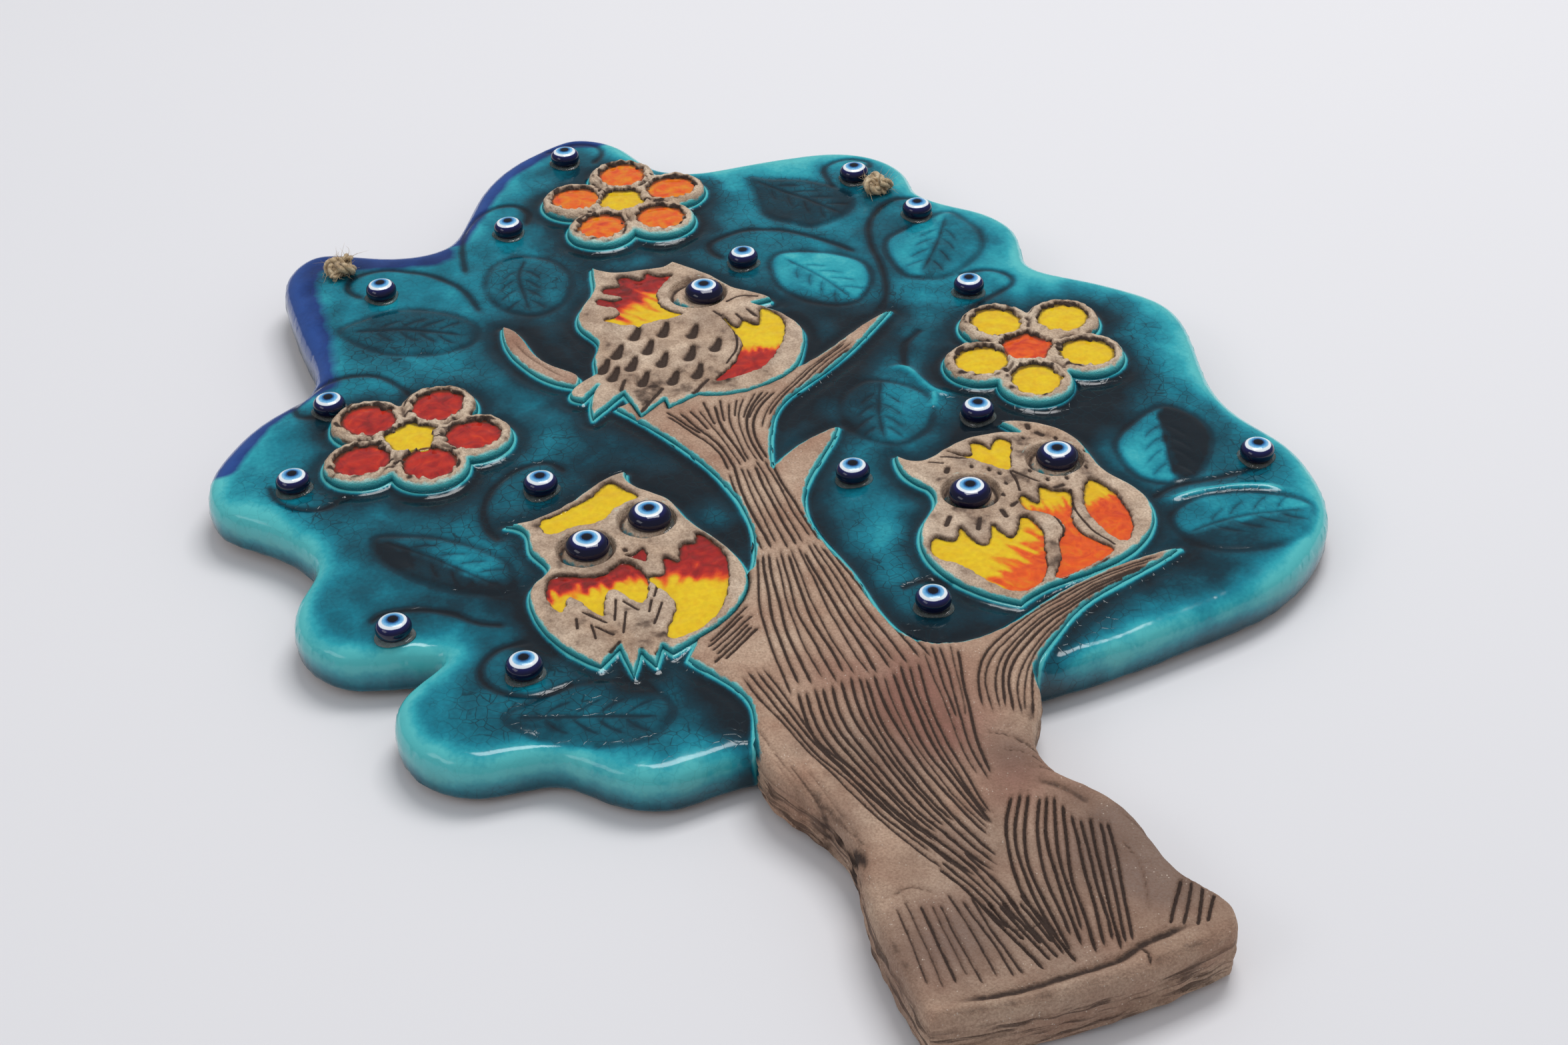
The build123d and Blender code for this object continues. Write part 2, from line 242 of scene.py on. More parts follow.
def beside(line, offsets, closed=False):
    """Points on both sides of a line, so that a mesh follows it."""
    along = np.roll(line, -1, 0) - np.roll(line, 1, 0) if closed else np.gradient(line, axis=0)
    normal = np.stack([along[:, 1], -along[:, 0]], 1)
    normal /= np.maximum(np.linalg.norm(normal, axis=1, keepdims=True), 1e-9)
    return np.vstack([line + normal * offset for offset in offsets])


# ---------------------------------------------------------------- meshes


def near_marks(points, marks, cell):
    """True for the points within about one cell of any mark."""
    if not len(points) or not len(marks):
        return np.zeros(len(points), bool)
    low = np.minimum(points.min(0), marks.min(0)) - 2 * cell
    size = ((np.maximum(points.max(0), marks.max(0)) - low) / cell).astype(int) + 3
    grid = np.zeros(tuple(size), bool)
    i, j = ((marks - low) / cell).astype(int).T
    for di in (-1, 0, 1):
        for dj in (-1, 0, 1):
            grid[i + di, j + dj] = True
    i, j = ((points - low) / cell).astype(int).T
    return grid[i, j]


def thin(points, cell):
    """Keeps one point of any that share a small cell."""
    keep = np.unique(np.round(points / cell).astype(int), axis=0, return_index=True)[1]
    return points[np.sort(keep)]


def hex_grid(loop, step):
    low, high = loop.min(0), loop.max(0)
    x = np.arange(low[0], high[0], step)
    z = np.arange(low[1], high[1], step * 0.866)
    grid = np.stack(np.meshgrid(x, z), -1)
    grid[1::2, :, 0] += step / 2
    return grid.reshape(-1, 2)


def sheet(loops, step, fine, marks):
    """Points and triangles inside the first loop and outside the others; the loops' points come first."""
    rims = np.vstack(loops)
    layers = [hex_grid(loops[0], step)]
    if marks is not None:
        close = near_marks(layers[0], marks, 2.2 * fine)
        dense = hex_grid(loops[0], fine)
        dense = dense[near_marks(dense, marks, 2.2 * fine)]
        layers = [thin(marks, 0.3 * fine), dense, layers[0][~close]]
    held = rims
    spacing = [fine, fine, step] if marks is not None else [step]
    for layer, size in zip(layers, spacing):
        layer = layer[~near_marks(layer, held, 0.36 * size)]
        layer = layer[inside(layer, loops[0])]
        for hole in loops[1:]:
            layer = layer[~inside(layer, hole)]
        held = np.vstack([held, layer])
    edges, first = [], 0
    for loop in loops:
        count = len(loop)
        edges += [(first + k, first + (k + 1) % count) for k in range(count)]
        first += count
    made = delaunay_2d_cdt([Vector(p) for p in held], edges, [], 2, 1e-6)
    return np.array([tuple(p) for p in made[0]]), np.array(made[2], int)


def add_piece(name, body, places, faces, material, nodes=(), values=None, backs=None):
    """Adds a mesh from places in mm (row frame); it rides on a body and stands for CAD nodes."""
    mesh = bpy.data.meshes.new(name)
    mesh.from_pydata((np.asarray(places) * MM).tolist(), [], faces)
    mesh.shade_smooth()
    materials = material if isinstance(material, list) else [material]
    for each in materials:
        mesh.materials.append(each)
    if backs is not None:
        mesh.polygons.foreach_set("material_index", np.asarray(backs, np.int32))
        mesh.polygons.foreach_set("use_smooth", np.asarray(backs) == 0)
    for key, array in (values or {}).items():
        layer = mesh.attributes.new(key, "FLOAT", "POINT")
        layer.data.foreach_set("value", np.asarray(array, np.float32))
    piece = bpy.data.objects.new(name, mesh)
    bpy.context.scene.collection.objects.link(piece)
    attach(piece, body)
    if nodes:
        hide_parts(*nodes)
    return piece


def relief(name, nodes, loops, fields, wall, material, step, fine=None, marks=None, foot=None,
           rough=0.0, back_step=7.0, back_material=None):
    """A closed piece: a carved front, walls and a back.

    fields(points) gives "height" in mm and the material's values for points in the front view.
    wall lists rings as (mm outward, share of the way from the rim down to the foot).
    """
    loops = [loops[0]] + [hole[::-1] for hole in loops[1:]]
    front, triangles = sheet(loops, step, fine or step, marks)
    counts = [len(loop) for loop in loops]
    rim_count = sum(counts)
    rims = front[:rim_count]
    outward = np.vstack([beside(loop, [1.0], closed=True) - loop for loop in loops])
    run = np.concatenate([lengths_along(loop) for loop in loops])
    flat, downs = [front], []
    for level, (out, down) in enumerate(wall):
        ragged = rough * uneven(np.stack([run / 5, np.full(rim_count, level * 1.7)], 1), 1.6, 5)
        if out <= -0.5:
            ragged = ragged * 0.3
        flat.append(rims + outward * (out + ragged)[:, None])
        downs.append(np.full(rim_count, down))
    last = np.split(flat[-1], np.cumsum(counts)[:-1])
    back, back_triangles = sheet(last, back_step, back_step, None)
    flat.append(back[rim_count:])
    downs.append(np.ones(len(back) - rim_count))
    places = np.vstack(flat)
    values = fields(places)
    down = np.concatenate(downs)
    values["side"] = np.concatenate([np.zeros(len(front)), down])
    height = values.pop("height")
    base = np.zeros(len(places)) if foot is None else foot(places)
    rim_height = np.concatenate([height[:rim_count]] * len(wall) + [np.zeros(len(back) - rim_count)])
    height[len(front):] = rim_height + (base[len(front):] - rim_height) * down
    faces = triangles.tolist()
    walls = []
    for level in range(len(wall)):
        above = 0 if level == 0 else len(front) + (level - 1) * rim_count
        below = len(front) + level * rim_count
        start = 0
        for count in counts:
            k = np.arange(count) + start
            n = (np.arange(count) + 1) % count + start
            walls += np.stack([above + k, below + k, below + n, above + n], 1).tolist()
            start += count
    shift = len(front) + (len(wall) - 1) * rim_count
    behind = (back_triangles + shift)[:, ::-1].tolist()
    backs = [0] * (len(faces) + len(walls)) + [1 if back_material else 0] * len(behind)
    if back_material:
        material = [material, back_material]
    solid = np.stack([places[:, 0], -height, places[:, 1]], 1)
    faces += walls + behind
    return add_piece(name, "plaque", solid, faces, material, nodes, values, backs)


def frames_along(line, start):
    """Directions along and across a 3-D line that don't twist; the first is across from start."""
    along = np.gradient(line, axis=0)
    along /= np.linalg.norm(along, axis=1, keepdims=True)
    side = np.cross(along[0], start)
    sides = []
    for way in along:
        side = side - way * (side @ way)
        side = side / np.linalg.norm(side)
        sides.append(side)
    across = np.array(sides)
    return along, across, np.cross(along, across)


def ring_faces(rings, sides):
    """Quads between closed rings of points that follow each other."""
    faces = []
    for k in range(rings - 1):
        for j in range(sides):
            n = (j + 1) % sides
            faces.append((k * sides + j, k * sides + n, (k + 1) * sides + n, (k + 1) * sides + j))
    return faces


def tube(line, radius, sides=8, twist=0.0):
    """Places and faces of a closed tube along a 3-D line in mm."""
    line = np.asarray(line, float)
    radius = np.broadcast_to(radius, len(line))
    _, across, other = frames_along(line, (0.3, 0.9, 0.2))
    angle = np.arange(sides) * 2 * pi / sides + twist * np.arange(len(line))[:, None]
    ring = np.cos(angle)[..., None] * across[:, None] + np.sin(angle)[..., None] * other[:, None]
    places = (line[:, None] + radius[:, None, None] * ring).reshape(-1, 3)
    faces = ring_faces(len(line), sides)
    faces.append(tuple(range(sides))[::-1])
    faces.append(tuple((len(line) - 1) * sides + j for j in range(sides)))
    return places, faces


def join(parts):
    """One set of places and faces from several."""
    places, faces, first = [], [], 0
    for some, ring in parts:
        places.append(some)
        faces += [tuple(first + k for k in face) for face in ring]
        first += len(some)
    return np.vstack(places), faces


# ---------------------------------------------------------------- materials


def rgb(red, green, blue):
    """Linear colour from screen values of 0 to 255."""
    return tuple(((c / 255 + 0.055) / 1.055) ** 2.4 for c in (red, green, blue)) + (1.0,)


class Paint:
    """A node material in the making; its methods add a node and return its output."""

    def __init__(self, name, roughness, coat=0.0, specular=0.5):
        self.material = bpy.data.materials.new(name)
        self.material.use_nodes = True
        self.tree = self.material.node_tree
        self.shader = self.tree.nodes["Principled BSDF"]
        self.place = self.tree.nodes.new("ShaderNodeTexCoord").outputs["Object"]
        self.feed("Roughness", roughness)
        self.feed("Coat Weight", coat)
        self.feed("Coat Roughness", 0.04)
        self.feed("Specular IOR Level", specular)

    def feed(self, socket, value):
        if isinstance(socket, str):
            socket = self.shader.inputs[socket]
        if isinstance(value, bpy.types.NodeSocket):
            self.tree.links.new(value, socket)
        else:
            socket.default_value = value

    def add(self, kind, inputs, output=0, **settings):
        node = self.tree.nodes.new("ShaderNode" + kind)
        for key, value in settings.items():
            setattr(node, key, value)
        for key, value in inputs.items():
            self.feed(node.inputs[key], value)
        return node.outputs[output]

    def value(self, name):
        return self.add("Attribute", {}, "Fac", attribute_name=name)

    def noise(self, scale, detail=3.0, distortion=0.0, stretch=None):
        place = self.place
        if stretch:
            place = self.add("Mapping", {"Vector": self.place, "Scale": stretch})
        inputs = {"Vector": place, "Scale": scale, "Detail": detail, "Distortion": distortion}
        return self.add("TexNoise", inputs)

    def cracks(self, scale, width, bend=0.0012):
        """1 on the thin lines between random cells, 0 elsewhere."""
        drift = self.add("TexNoise", {"Vector": self.place, "Scale": scale * 0.7, "Detail": 3.0}, 1)
        drift = self.add("VectorMath", {0: drift, 1: (bend, bend, bend)}, operation="MULTIPLY")
        place = self.add("VectorMath", {0: self.place, 1: drift}, operation="ADD")
        edge = self.add("TexVoronoi", {"Vector": place, "Scale": scale}, 0, feature="DISTANCE_TO_EDGE")
        return self.between(edge, 0.0, width, 1.0, 0.0)

    def between(self, value, low, high, first=0.0, last=1.0):
        inputs = {"Value": value, "From Min": low, "From Max": high, "To Min": first, "To Max": last}
        return self.add("MapRange", inputs)

    def times(self, a, b):
        return self.add("Math", {0: a, 1: b}, operation="MULTIPLY")

    def plus(self, a, b):
        return self.add("Math", {0: a, 1: b}, operation="ADD")

    def mix(self, amount, a, b):
        return self.add("MixRGB", {"Fac": amount, "Color1": a, "Color2": b})

    def ramp(self, value, *stops):
        node = self.tree.nodes.new("ShaderNodeValToRGB")
        self.feed(node.inputs[0], value)
        elements = node.color_ramp.elements
        elements[0].position, elements[0].color = stops[0][0], rgb(*stops[0][1])
        elements[1].position, elements[1].color = stops[-1][0], rgb(*stops[-1][1])
        for place, colour in stops[1:-1]:
            elements.new(place).color = rgb(*colour)
        return node.outputs[0]

    def bump(self, height, distance, strength=1.0, under=None):
        inputs = {"Height": height, "Distance": distance, "Strength": strength}
        if under:
            inputs["Normal"] = under
        return self.add("Bump", inputs)

    def height_above_back(self):
        """Height above the flat back in mm."""
        split = self.add("SeparateXYZ", {0: self.place}, 1)
        return self.times(split, -1 / MM)

    def done(self, colour, normal=None):
        self.feed("Base Color", colour)
        if normal:
            self.feed("Normal", normal)
        return self.material


def glaze_colour(paint, depth):
    """Turquoise glaze from thin (0) to a deep pool (1)."""
    return paint.ramp(
        depth, (0.0, (88, 194, 198)), (0.16, (46, 166, 180)), (0.34, (20, 128, 148)), (0.52, (14, 92, 110)),
        (0.72, (14, 56, 70)), (1.0, (20, 30, 38)),
    )


def turquoise_glaze():
    paint = Paint("turquoise_glaze", 0.09, coat=0.06)
    depth = paint.value("depth")
    cloud = paint.between(paint.noise(95.0, 4.0, 0.6), 0.25, 0.75, -0.10, 0.10)
    grain = paint.between(paint.noise(900.0, 2.0), 0.3, 0.7, -0.035, 0.035)
    depth = paint.plus(paint.plus(depth, cloud), grain)
    # Painted shade on the side walls: the glaze is drawn darker further down each wall.
    depth = paint.plus(depth, paint.between(paint.value("side"), 0.0, 0.8, 0.0, 0.5))
    colour = glaze_colour(paint, depth)
    blue = paint.ramp(
        depth, (0.0, (40, 76, 146)), (0.3, (24, 52, 112)), (0.6, (18, 34, 80)), (1.0, (16, 20, 46)),
    )
    streak = paint.between(paint.noise(110.0, 3.0, 0.5), 0.3, 0.7, -0.14, 0.14)
    cobalt = paint.plus(paint.value("cobalt"), streak)
    colour = paint.mix(paint.between(cobalt, 0.25, 0.75), colour, blue)
    craze = paint.cracks(360.0, 0.05)
    patches = paint.between(paint.noise(28.0, 2.0), 0.38, 0.58, 0.15, 0.95)
    lines = paint.times(craze, patches)
    lines = paint.times(lines, paint.between(depth, 0.22, 0.5, 0.12, 0.9))
    colour = paint.mix(lines, colour, rgb(14, 40, 50))
    level = paint.height_above_back()
    # Darker towards the foot of the walls: glaze drips, with painted shade where the walls meet the table.
    under = paint.between(level, 0.5, 8.5, 1.0, 0.0)
    drips = paint.between(paint.noise(120.0, 3.0, 0.0, (1, 0.15, 1)), 0.35, 0.7, 0.6, 1.0)
    colour = paint.mix(paint.times(under, drips), colour, rgb(10, 56, 68))
    swell = paint.bump(paint.noise(120.0, 2.0), 0.0006, 0.35)
    normal = paint.bump(lines, 0.00006, 0.5, swell)
    paint.feed("Roughness", paint.between(paint.noise(220.0), 0.3, 0.7, 0.08, 0.17))
    return paint.done(colour, normal)


def clay(name, pale, warm, grey, face):
    """Sandy fired clay with dark oxide rubbed into its marks, painted shade by its raised parts, and glaze
    lapping up from the crown.
    """
    paint = Paint(name, 0.82, specular=0.28)
    tone = paint.between(paint.noise(70.0, 5.0, 0.4), 0.3, 0.72)
    colour = paint.mix(tone, rgb(*pale), rgb(*warm))
    colour = paint.mix(paint.value("red"), colour, rgb(142, 92, 82))
    colour = paint.mix(paint.value("grey"), colour, rgb(*grey))
    sand = paint.between(paint.noise(1900.0, 3.0), 0.35, 0.7)
    colour = paint.mix(paint.times(sand, 0.5), colour, rgb(124, 96, 80))
    fleck = paint.add("TexVoronoi", {"Vector": paint.place, "Scale": 1150.0}, 0, feature="F1")
    dots = paint.between(fleck, 0.10, 0.22, 1.0, 0.0)
    sparse = paint.between(paint.noise(420.0, 2.0), 0.5, 0.62)
    pale_grains = paint.times(paint.times(dots, sparse), 0.6)
    colour = paint.mix(pale_grains, colour, rgb(236, 222, 206))
    level = paint.height_above_back()
    above = paint.between(level, 0.2, 0.8)
    # The pieces' darkening field: oxide rubbed into marks, plus painted shade beside raised parts and on
    # the cells' upper walls.
    marks = paint.times(paint.value("oxide_and_shade"), above)
    oxide_wash_and_shade = paint.between(marks, 0.05, 0.7, 0.0, 0.6)
    colour = paint.mix(oxide_wash_and_shade, colour, rgb(112, 84, 68))
    smear = paint.between(paint.noise(520.0, 4.0, 0.8), 0.3, 0.7, -0.12, 0.12)
    oxide_and_shade = paint.between(paint.plus(marks, smear), 0.5, 0.92)
    colour = paint.mix(paint.times(oxide_and_shade, 0.93), colour, rgb(56, 43, 38))
    layers = paint.between(paint.noise(170.0, 5.0, 0.3, (0.45, 5.0, 0.45)), 0.5, 0.6)
    layers = paint.times(layers, paint.between(paint.value("side"), 0.03, 0.2))
    layers = paint.times(layers, above)
    colour = paint.mix(paint.times(layers, 0.72), colour, rgb(66, 50, 44))
    rough = paint.between(sand, 0.0, 1.0, 0.7, 0.92)
    lap = paint.value("fringe")
    ragged = paint.between(paint.noise(430.0, 4.0), 0.3, 0.7, -0.22, 0.22)
    lap = paint.between(paint.plus(lap, ragged), 0.38, 0.62)
    lap_colour = paint.ramp(paint.between(level, CROWN_TOP - 0.4, face - 0.1), (0.0, (16, 78, 92)),
                            (0.45, (24, 112, 126)), (0.8, (84, 188, 192)), (1.0, (190, 220, 208)))
    colour = paint.mix(lap, colour, lap_colour)
    paint.feed("Roughness", paint.between(lap, 0.0, 1.0, rough, 0.16))
    grit = paint.bump(paint.noise(2000.0, 4.0), 0.0004, 0.8)
    normal = paint.bump(dots, 0.0001, 0.35, grit)
    normal = paint.bump(layers, 0.0006, 0.6, normal)
    return paint.done(colour, normal)


def enamel(name):
    """Opaque bright enamel whose colour runs from yellow to deep red."""
    paint = Paint(name, 0.07, coat=0.8)
    swirl = paint.between(paint.noise(240.0, 4.0, 1.6), 0.3, 0.7, -0.09, 0.09)
    heat = paint.plus(paint.value("warmth"), swirl)
    colour = paint.ramp(
        heat, (0.0, (244, 208, 28)), (0.22, (238, 186, 22)), (0.4, (240, 142, 22)), (0.56, (243, 96, 28)),
        (0.74, (206, 48, 30)), (0.88, (168, 30, 30)), (1.0, (112, 24, 24)),
    )
    veil = paint.between(paint.noise(900.0, 3.0), 0.35, 0.65, 0.0, 0.12)
    colour = paint.mix(veil, colour, rgb(120, 60, 20))
    # Darker at the pool's edges: thin enamel over the clay, with painted shade heavier along the upper
    # wall.
    waver = paint.between(paint.noise(700.0), 0.3, 0.7, -0.2, 0.2)
    thin_edge_and_shade = paint.between(paint.plus(paint.value("thin_edge_and_shade"), waver), 0.25, 0.95)
    colour = paint.mix(paint.times(thin_edge_and_shade, 0.85), colour, rgb(66, 42, 22))
    normal = paint.bump(paint.noise(260.0, 2.0), 0.0005, 0.3)
    return paint.done(colour, normal)


def bead_glass():
    """Lamp-worked glass: navy body, white ring, pale blue iris and a dark pupil."""
    paint = Paint("bead_glass", 0.06, coat=0.2, specular=0.5)
    ring = paint.value("ring")
    wander = paint.between(paint.noise(260.0, 2.0), 0.3, 0.7, -0.018, 0.018)
    ring = paint.plus(ring, wander)
    # Radial streaks across the iris: painted sheen of the turned glass.
    sheen_rays = paint.between(paint.noise(1500.0, 2.0, 0.0, (1, 0.2, 1)), 0.35, 0.65)
    colour = paint.ramp(
        ring, (0.0, (6, 8, 18)), (0.27, (10, 16, 34)), (0.35, (36, 92, 150)), (0.45, (104, 178, 226)),
        (0.57, (158, 210, 242)), (0.62, (244, 249, 252)), (0.745, (238, 245, 252)), (0.775, (28, 32, 92)),
        (1.0, (10, 11, 44)),
    )
    iris = paint.times(paint.between(ring, 0.25, 0.35), paint.between(ring, 0.54, 0.61, 1.0, 0.0))
    colour = paint.mix(paint.times(paint.times(iris, sheen_rays), 0.4), colour, rgb(60, 134, 200))
    return paint.done(colour, paint.bump(paint.noise(420.0, 2.0), 0.0003, 0.12))


def glue():
    paint = Paint("clear_glue", 0.12)
    paint.feed("Transmission Weight", 0.9)
    paint.feed("IOR", 1.46)
    haze = paint.between(paint.noise(900.0), 0.4, 0.65)
    colour = paint.mix(haze, rgb(236, 240, 236), rgb(206, 214, 206))
    return paint.done(colour, paint.bump(haze, 0.0002, 0.3))


def jute():
    """Dry plant fibre, lit and shaded along its twisted strands."""
    paint = Paint("jute", 0.9, specular=0.2)
    lay = paint.noise(700.0, 5.0, 0.3)
    colour = paint.ramp(
        lay, (0.2, (140, 114, 84)), (0.45, (190, 164, 128)), (0.6, (214, 192, 156)), (0.8, (236, 220, 190)),
    )
    groove = paint.value("groove")
    colour = paint.mix(paint.times(groove, 0.75), colour, rgb(84, 62, 42))
    hair = paint.noise(2400.0, 4.0, 0.2)
    paint.feed("Sheen Weight", 0.35)
    return paint.done(colour, paint.bump(hair, 0.0004, 0.6))


GLAZE = turquoise_glaze()
COMBED_CLAY = clay("combed_clay", (212, 184, 160), (172, 134, 112), (120, 102, 94), TRUNK_TOP)
OWL_CLAY = clay("owl_clay", (232, 210, 186), (198, 168, 142), (150, 136, 124), OWL_TOP)
FLOWER_CLAY = clay("flower_clay", (238, 220, 196), (206, 178, 150), (150, 136, 124), FLOWER_TOP)
BACK_CLAY = clay("bare_back_clay", (200, 178, 156), (182, 156, 134), (160, 146, 134), TRUNK_TOP)
ENAMEL = enamel("poured_enamel")
GLASS = bead_glass()
GLUE = glue()
JUTE = jute()

# ---------------------------------------------------------------- outlines from the frame

crown_cut = section("crown_slab", CROWN_TOP * 0.45)
crown_loop = divide(crown_cut[0], 0.8)
hole_loops = [divide(loop, 0.5) for loop in crown_cut[1:3]]
holes = sorted((loop.mean(0) for loop in hole_loops), key=lambda place: place[0])
root_loop = section("trunk", CROWN_TOP * 0.45)[0]
trunk_loop = section("trunk", TRUNK_TOP - 0.6)[0]
twig_loop = section("left_twig", TRUNK_TOP - 0.6)[0]
OWLS = ["owl_top", "owl_left", "owl_right"]
FLOWERS = ["flower_top", "flower_left", "flower_right"]
owl_loops = {name: section(name, OWL_TOP - 0.6) for name in OWLS}
flower_loops = {name: section(name, FLOWER_TOP - 0.6) for name in FLOWERS}
clay_loops = [trunk_loop, twig_loop]
clay_loops += [owl_loops[name][0] for name in OWLS] + [flower_loops[name][0] for name in FLOWERS]

free_of_root = gap(crown_loop, root_loop, 2.0, closed=True)[0] > 0.5
first_free = int(np.flatnonzero(free_of_root & ~np.roll(free_of_root, 1))[0])
free_rim = np.roll(crown_loop, -first_free, axis=0)[: int(free_of_root.sum())]


def bead_nodes():
    names = [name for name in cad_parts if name.startswith("crown_bead") or "_eye" in name]
    return sorted(names)


def node_centre(name):
    low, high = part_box(name)
    return np.array([(low.x + high.x) / 2, (low.z + high.z) / 2]) / MM


BEADS = {name: node_centre(name) for name in bead_nodes()}

# ---------------------------------------------------------------- the glazed crown

CURLS = [
    [(-72.5, -13.5), (-76.5, -6.5), (-73.5, -0.5), (-65.5, 0.5), (-57.5, -3.5), (-50.5, -10.5),
     (-46.5, -18.5), (-44.5, -30.5)],
    [(-44.5, -9.5), (-43, 3.5), (-40.5, 13.5), (-35.5, 21.5), (-29.5, 25.5), (-23.5, 24.5),
     (-21, 18.5), (-23.5, 11.5)],
    [(-88, -67), (-97, -65), (-98, -59), (-93, -53), (-85, -50), (-76.5, -52), (-71.5, -59),
     (-69.5, -65)],
    [(-109, -92), (-108, -99), (-104, -104), (-98, -106), (-91, -103)],
    [(-39.5, -111), (-43.5, -105), (-51.5, -106), (-57.5, -111), (-61.5, -118), (-62.5, -126.5),
     (-60.5, -133.5)],
    [(-8.5, 53.5), (0.5, 56), (7, 53), (7.5, 47), (3.5, 41.5)],
    [(65.5, 2.5), (66, 13.5), (69, 17.5), (75, 19), (80, 15.5), (79, 10.5)],
    [(25, -26.5), (22.5, -21.5), (23, -16.5), (28, -13.5), (35, -12), (43, -14.5), (49, -19.5),
     (55, -26.5), (60, -34.5)],
    [(88.5, -17.5), (85, -10.5), (79, -9.5), (72, -14.5), (67.5, -22.5), (65, -32.5), (64, -43),
     (62, -53), (59, -61), (54, -67)],
    [(81, -55.5), (89.5, -55.5), (94.5, -60), (93.5, -65), (86, -69), (78, -73)],
    [(63, -78), (57, -83), (54, -90), (53, -94)],
    [(-95, -153.5), (-91, -151), (-83, -152), (-76.5, -155.5), (-71.5, -160.5), (-65.5, -163.5)],
    [(-61.5, -171.5), (-68.5, -171), (-73.5, -175.5), (-74.5, -181.5), (-70.5, -187.5), (-63.5, -190),
     (-55.5, -188.5)],
    [(88.5, -167.5), (94.5, -165), (103.5, -165), (113.5, -164.5), (120.5, -162.5)],
    [(21, -180.5), (28, -179.5), (33, -183.5)],
]
# Leaves: outline, rib, then the glaze depth added on the rib's left and right side
LEAVES = [
    ([(-82, -26.5), (-74.5, -23), (-65.5, -21.5), (-57.5, -24.5), (-50.5, -30.5), (-47, -36.5),
     (-49.5, -44), (-57.5, -46.5), (-65.5, -45), (-72.5, -41.5), (-78.5, -34.5)], [(-79, -28.5),
     (-66, -32), (-51, -40)], 0.2, 0.1),
    ([(-30, -4), (-37.5, -9), (-41, -20), (-38, -31), (-30, -37), (-21.5, -31.5), (-17.5, -20),
     (-21, -9)], [(-27, -6), (-31, -16), (-32, -34)], 0.02, 0.04),
    ([(42.5, -4.5), (43.5, 8.5), (44.5, 17.5), (51, 14), (59, 10.5), (66, 3.5), (69, -2.5), (67, -9.5),
     (61, -14.5), (53, -16.5), (47, -11.5)], [(45, 15.5), (54, 2), (63, -12.5)], 0.34, 0.4),
    ([(37, -29.5), (41, -27.5), (48, -29), (55, -33.5), (60, -40.5), (59, -50), (53, -58), (46, -59),
     (39, -54), (34.5, -45), (35, -34.5)], [(40, -30), (46, -42), (51, -57)], -0.3, -0.16),
    ([(67.5, -38.5), (70, -30.5), (76, -26.5), (84, -23.5), (91.5, -21.5), (94.5, -28.5),
     (95.5, -36.5), (92.5, -45), (86, -51), (78, -55), (71, -53), (68, -49)], [(90, -24), (82, -38),
     (73, -51)], 0.04, -0.22),
    ([(41, -97), (33.5, -102), (30.5, -111), (33, -121), (41, -126.5), (50, -121), (54, -110),
     (49.5, -101)], [(45, -98), (40, -111), (37, -124)], -0.06, 0.1),
    ([(-88, -122), (-80, -124), (-71.5, -128.5), (-64.5, -135.5), (-60.5, -143.5), (-62.5, -152.5),
     (-69.5, -150.5), (-77.5, -145.5), (-85, -137.5), (-88, -129.5)], [(-87, -124), (-76, -135),
     (-64, -150)], -0.02, 0.38),
    ([(-72.5, -194.5), (-63.5, -191), (-54.5, -189.5), (-45.5, -191.5), (-39.5, -197.5),
     (-38.5, -204.5), (-44.5, -211), (-54.5, -210), (-63.5, -205.5), (-69.5, -200.5)], [(-71, -195.5),
     (-56, -200), (-41, -205)], 0.06, 0.2),
    ([(106.5, -132.5), (112.5, -139.5), (112.5, -147.5), (108.5, -155.5), (102.5, -162.5),
     (95.5, -163.5), (89.5, -159.5), (88, -151.5), (89.5, -143.5), (95.5, -137.5)], [(105.5, -134),
     (101, -148), (97, -162)], 0.52, -0.24),
    ([(88.5, -179.5), (91.5, -173.5), (101.5, -170.5), (113.5, -173.5), (122.5, -181.5),
     (118.5, -189.5), (108.5, -193.5), (97.5, -192.5), (90.5, -187.5)], [(89.5, -183), (104, -181),
     (121, -183)], -0.2, 0.14),
]
RIDGES = [
    [(89.5, -169.5), (101.5, -169), (113.5, -171), (120.5, -175.5)],
    [(48, -93), (53, -95), (56, -107), (61, -112)],
    [(56, -107), (53, -115)],
]
# Soft spots where the glaze lies deeper (positive) or thinner: x, z, radius, amount
GLAZE_SPOTS = [
    (38, -60, 9, 0.45), (31, -76, 8, 0.4), (46, -66, 6, 0.25), (-27, -60, 9, 0.5), (-33, -46, 7, 0.3),
    (-20, -100, 11, 0.3), (-14, -125, 9, 0.42), (-9, -150, 6, 0.4), (36, -93, 10, 0.5),
    (21, -106, 8, 0.45), (52, -84, 9, 0.25), (70, -124, 11, 0.42), (89, -133, 10, 0.5),
    (92, -119, 11, 0.4), (58, -127, 9, 0.3), (104, -118, 9, 0.3), (-86, -128, 9, 0.3),
    (-76, -152, 9, 0.25), (-35, -110, 9, 0.35), (-20, -126, 8, 0.35), (-64, -152, 7, 0.35),
    (-60, -174, 6, 0.3), (-44, -193, 5, 0.35), (-31, -203, 8, 0.45), (-27, -213, 6, 0.35),
    (30, -197, 9, 0.4), (19, -196, 5, 0.3), (22, -160, 7, -0.3), (26, -148, 6, -0.15),
    (82, -201, 16, 0.16), (36, 16, 12, -0.18), (60, 21, 12, -0.22), (98, -62, 12, -0.12),
    (-60, -14, 13, -0.1), (-14, 32, 10, -0.1), (88, -198, 9, 0.1), (60, 0, 6, -0.05),
    (60, -100, 6, 0.25), (66, -112, 7, 0.2), (12, -10, 9, 0.3), (-8, -12, 9, 0.25),
    (-72, -109, 10, 0.25), (-95, -108, 9, 0.12), (36, -8, 8, -0.05), (104, -40, 7, 0.1),
    (-88, -190, 7, -0.1),
]
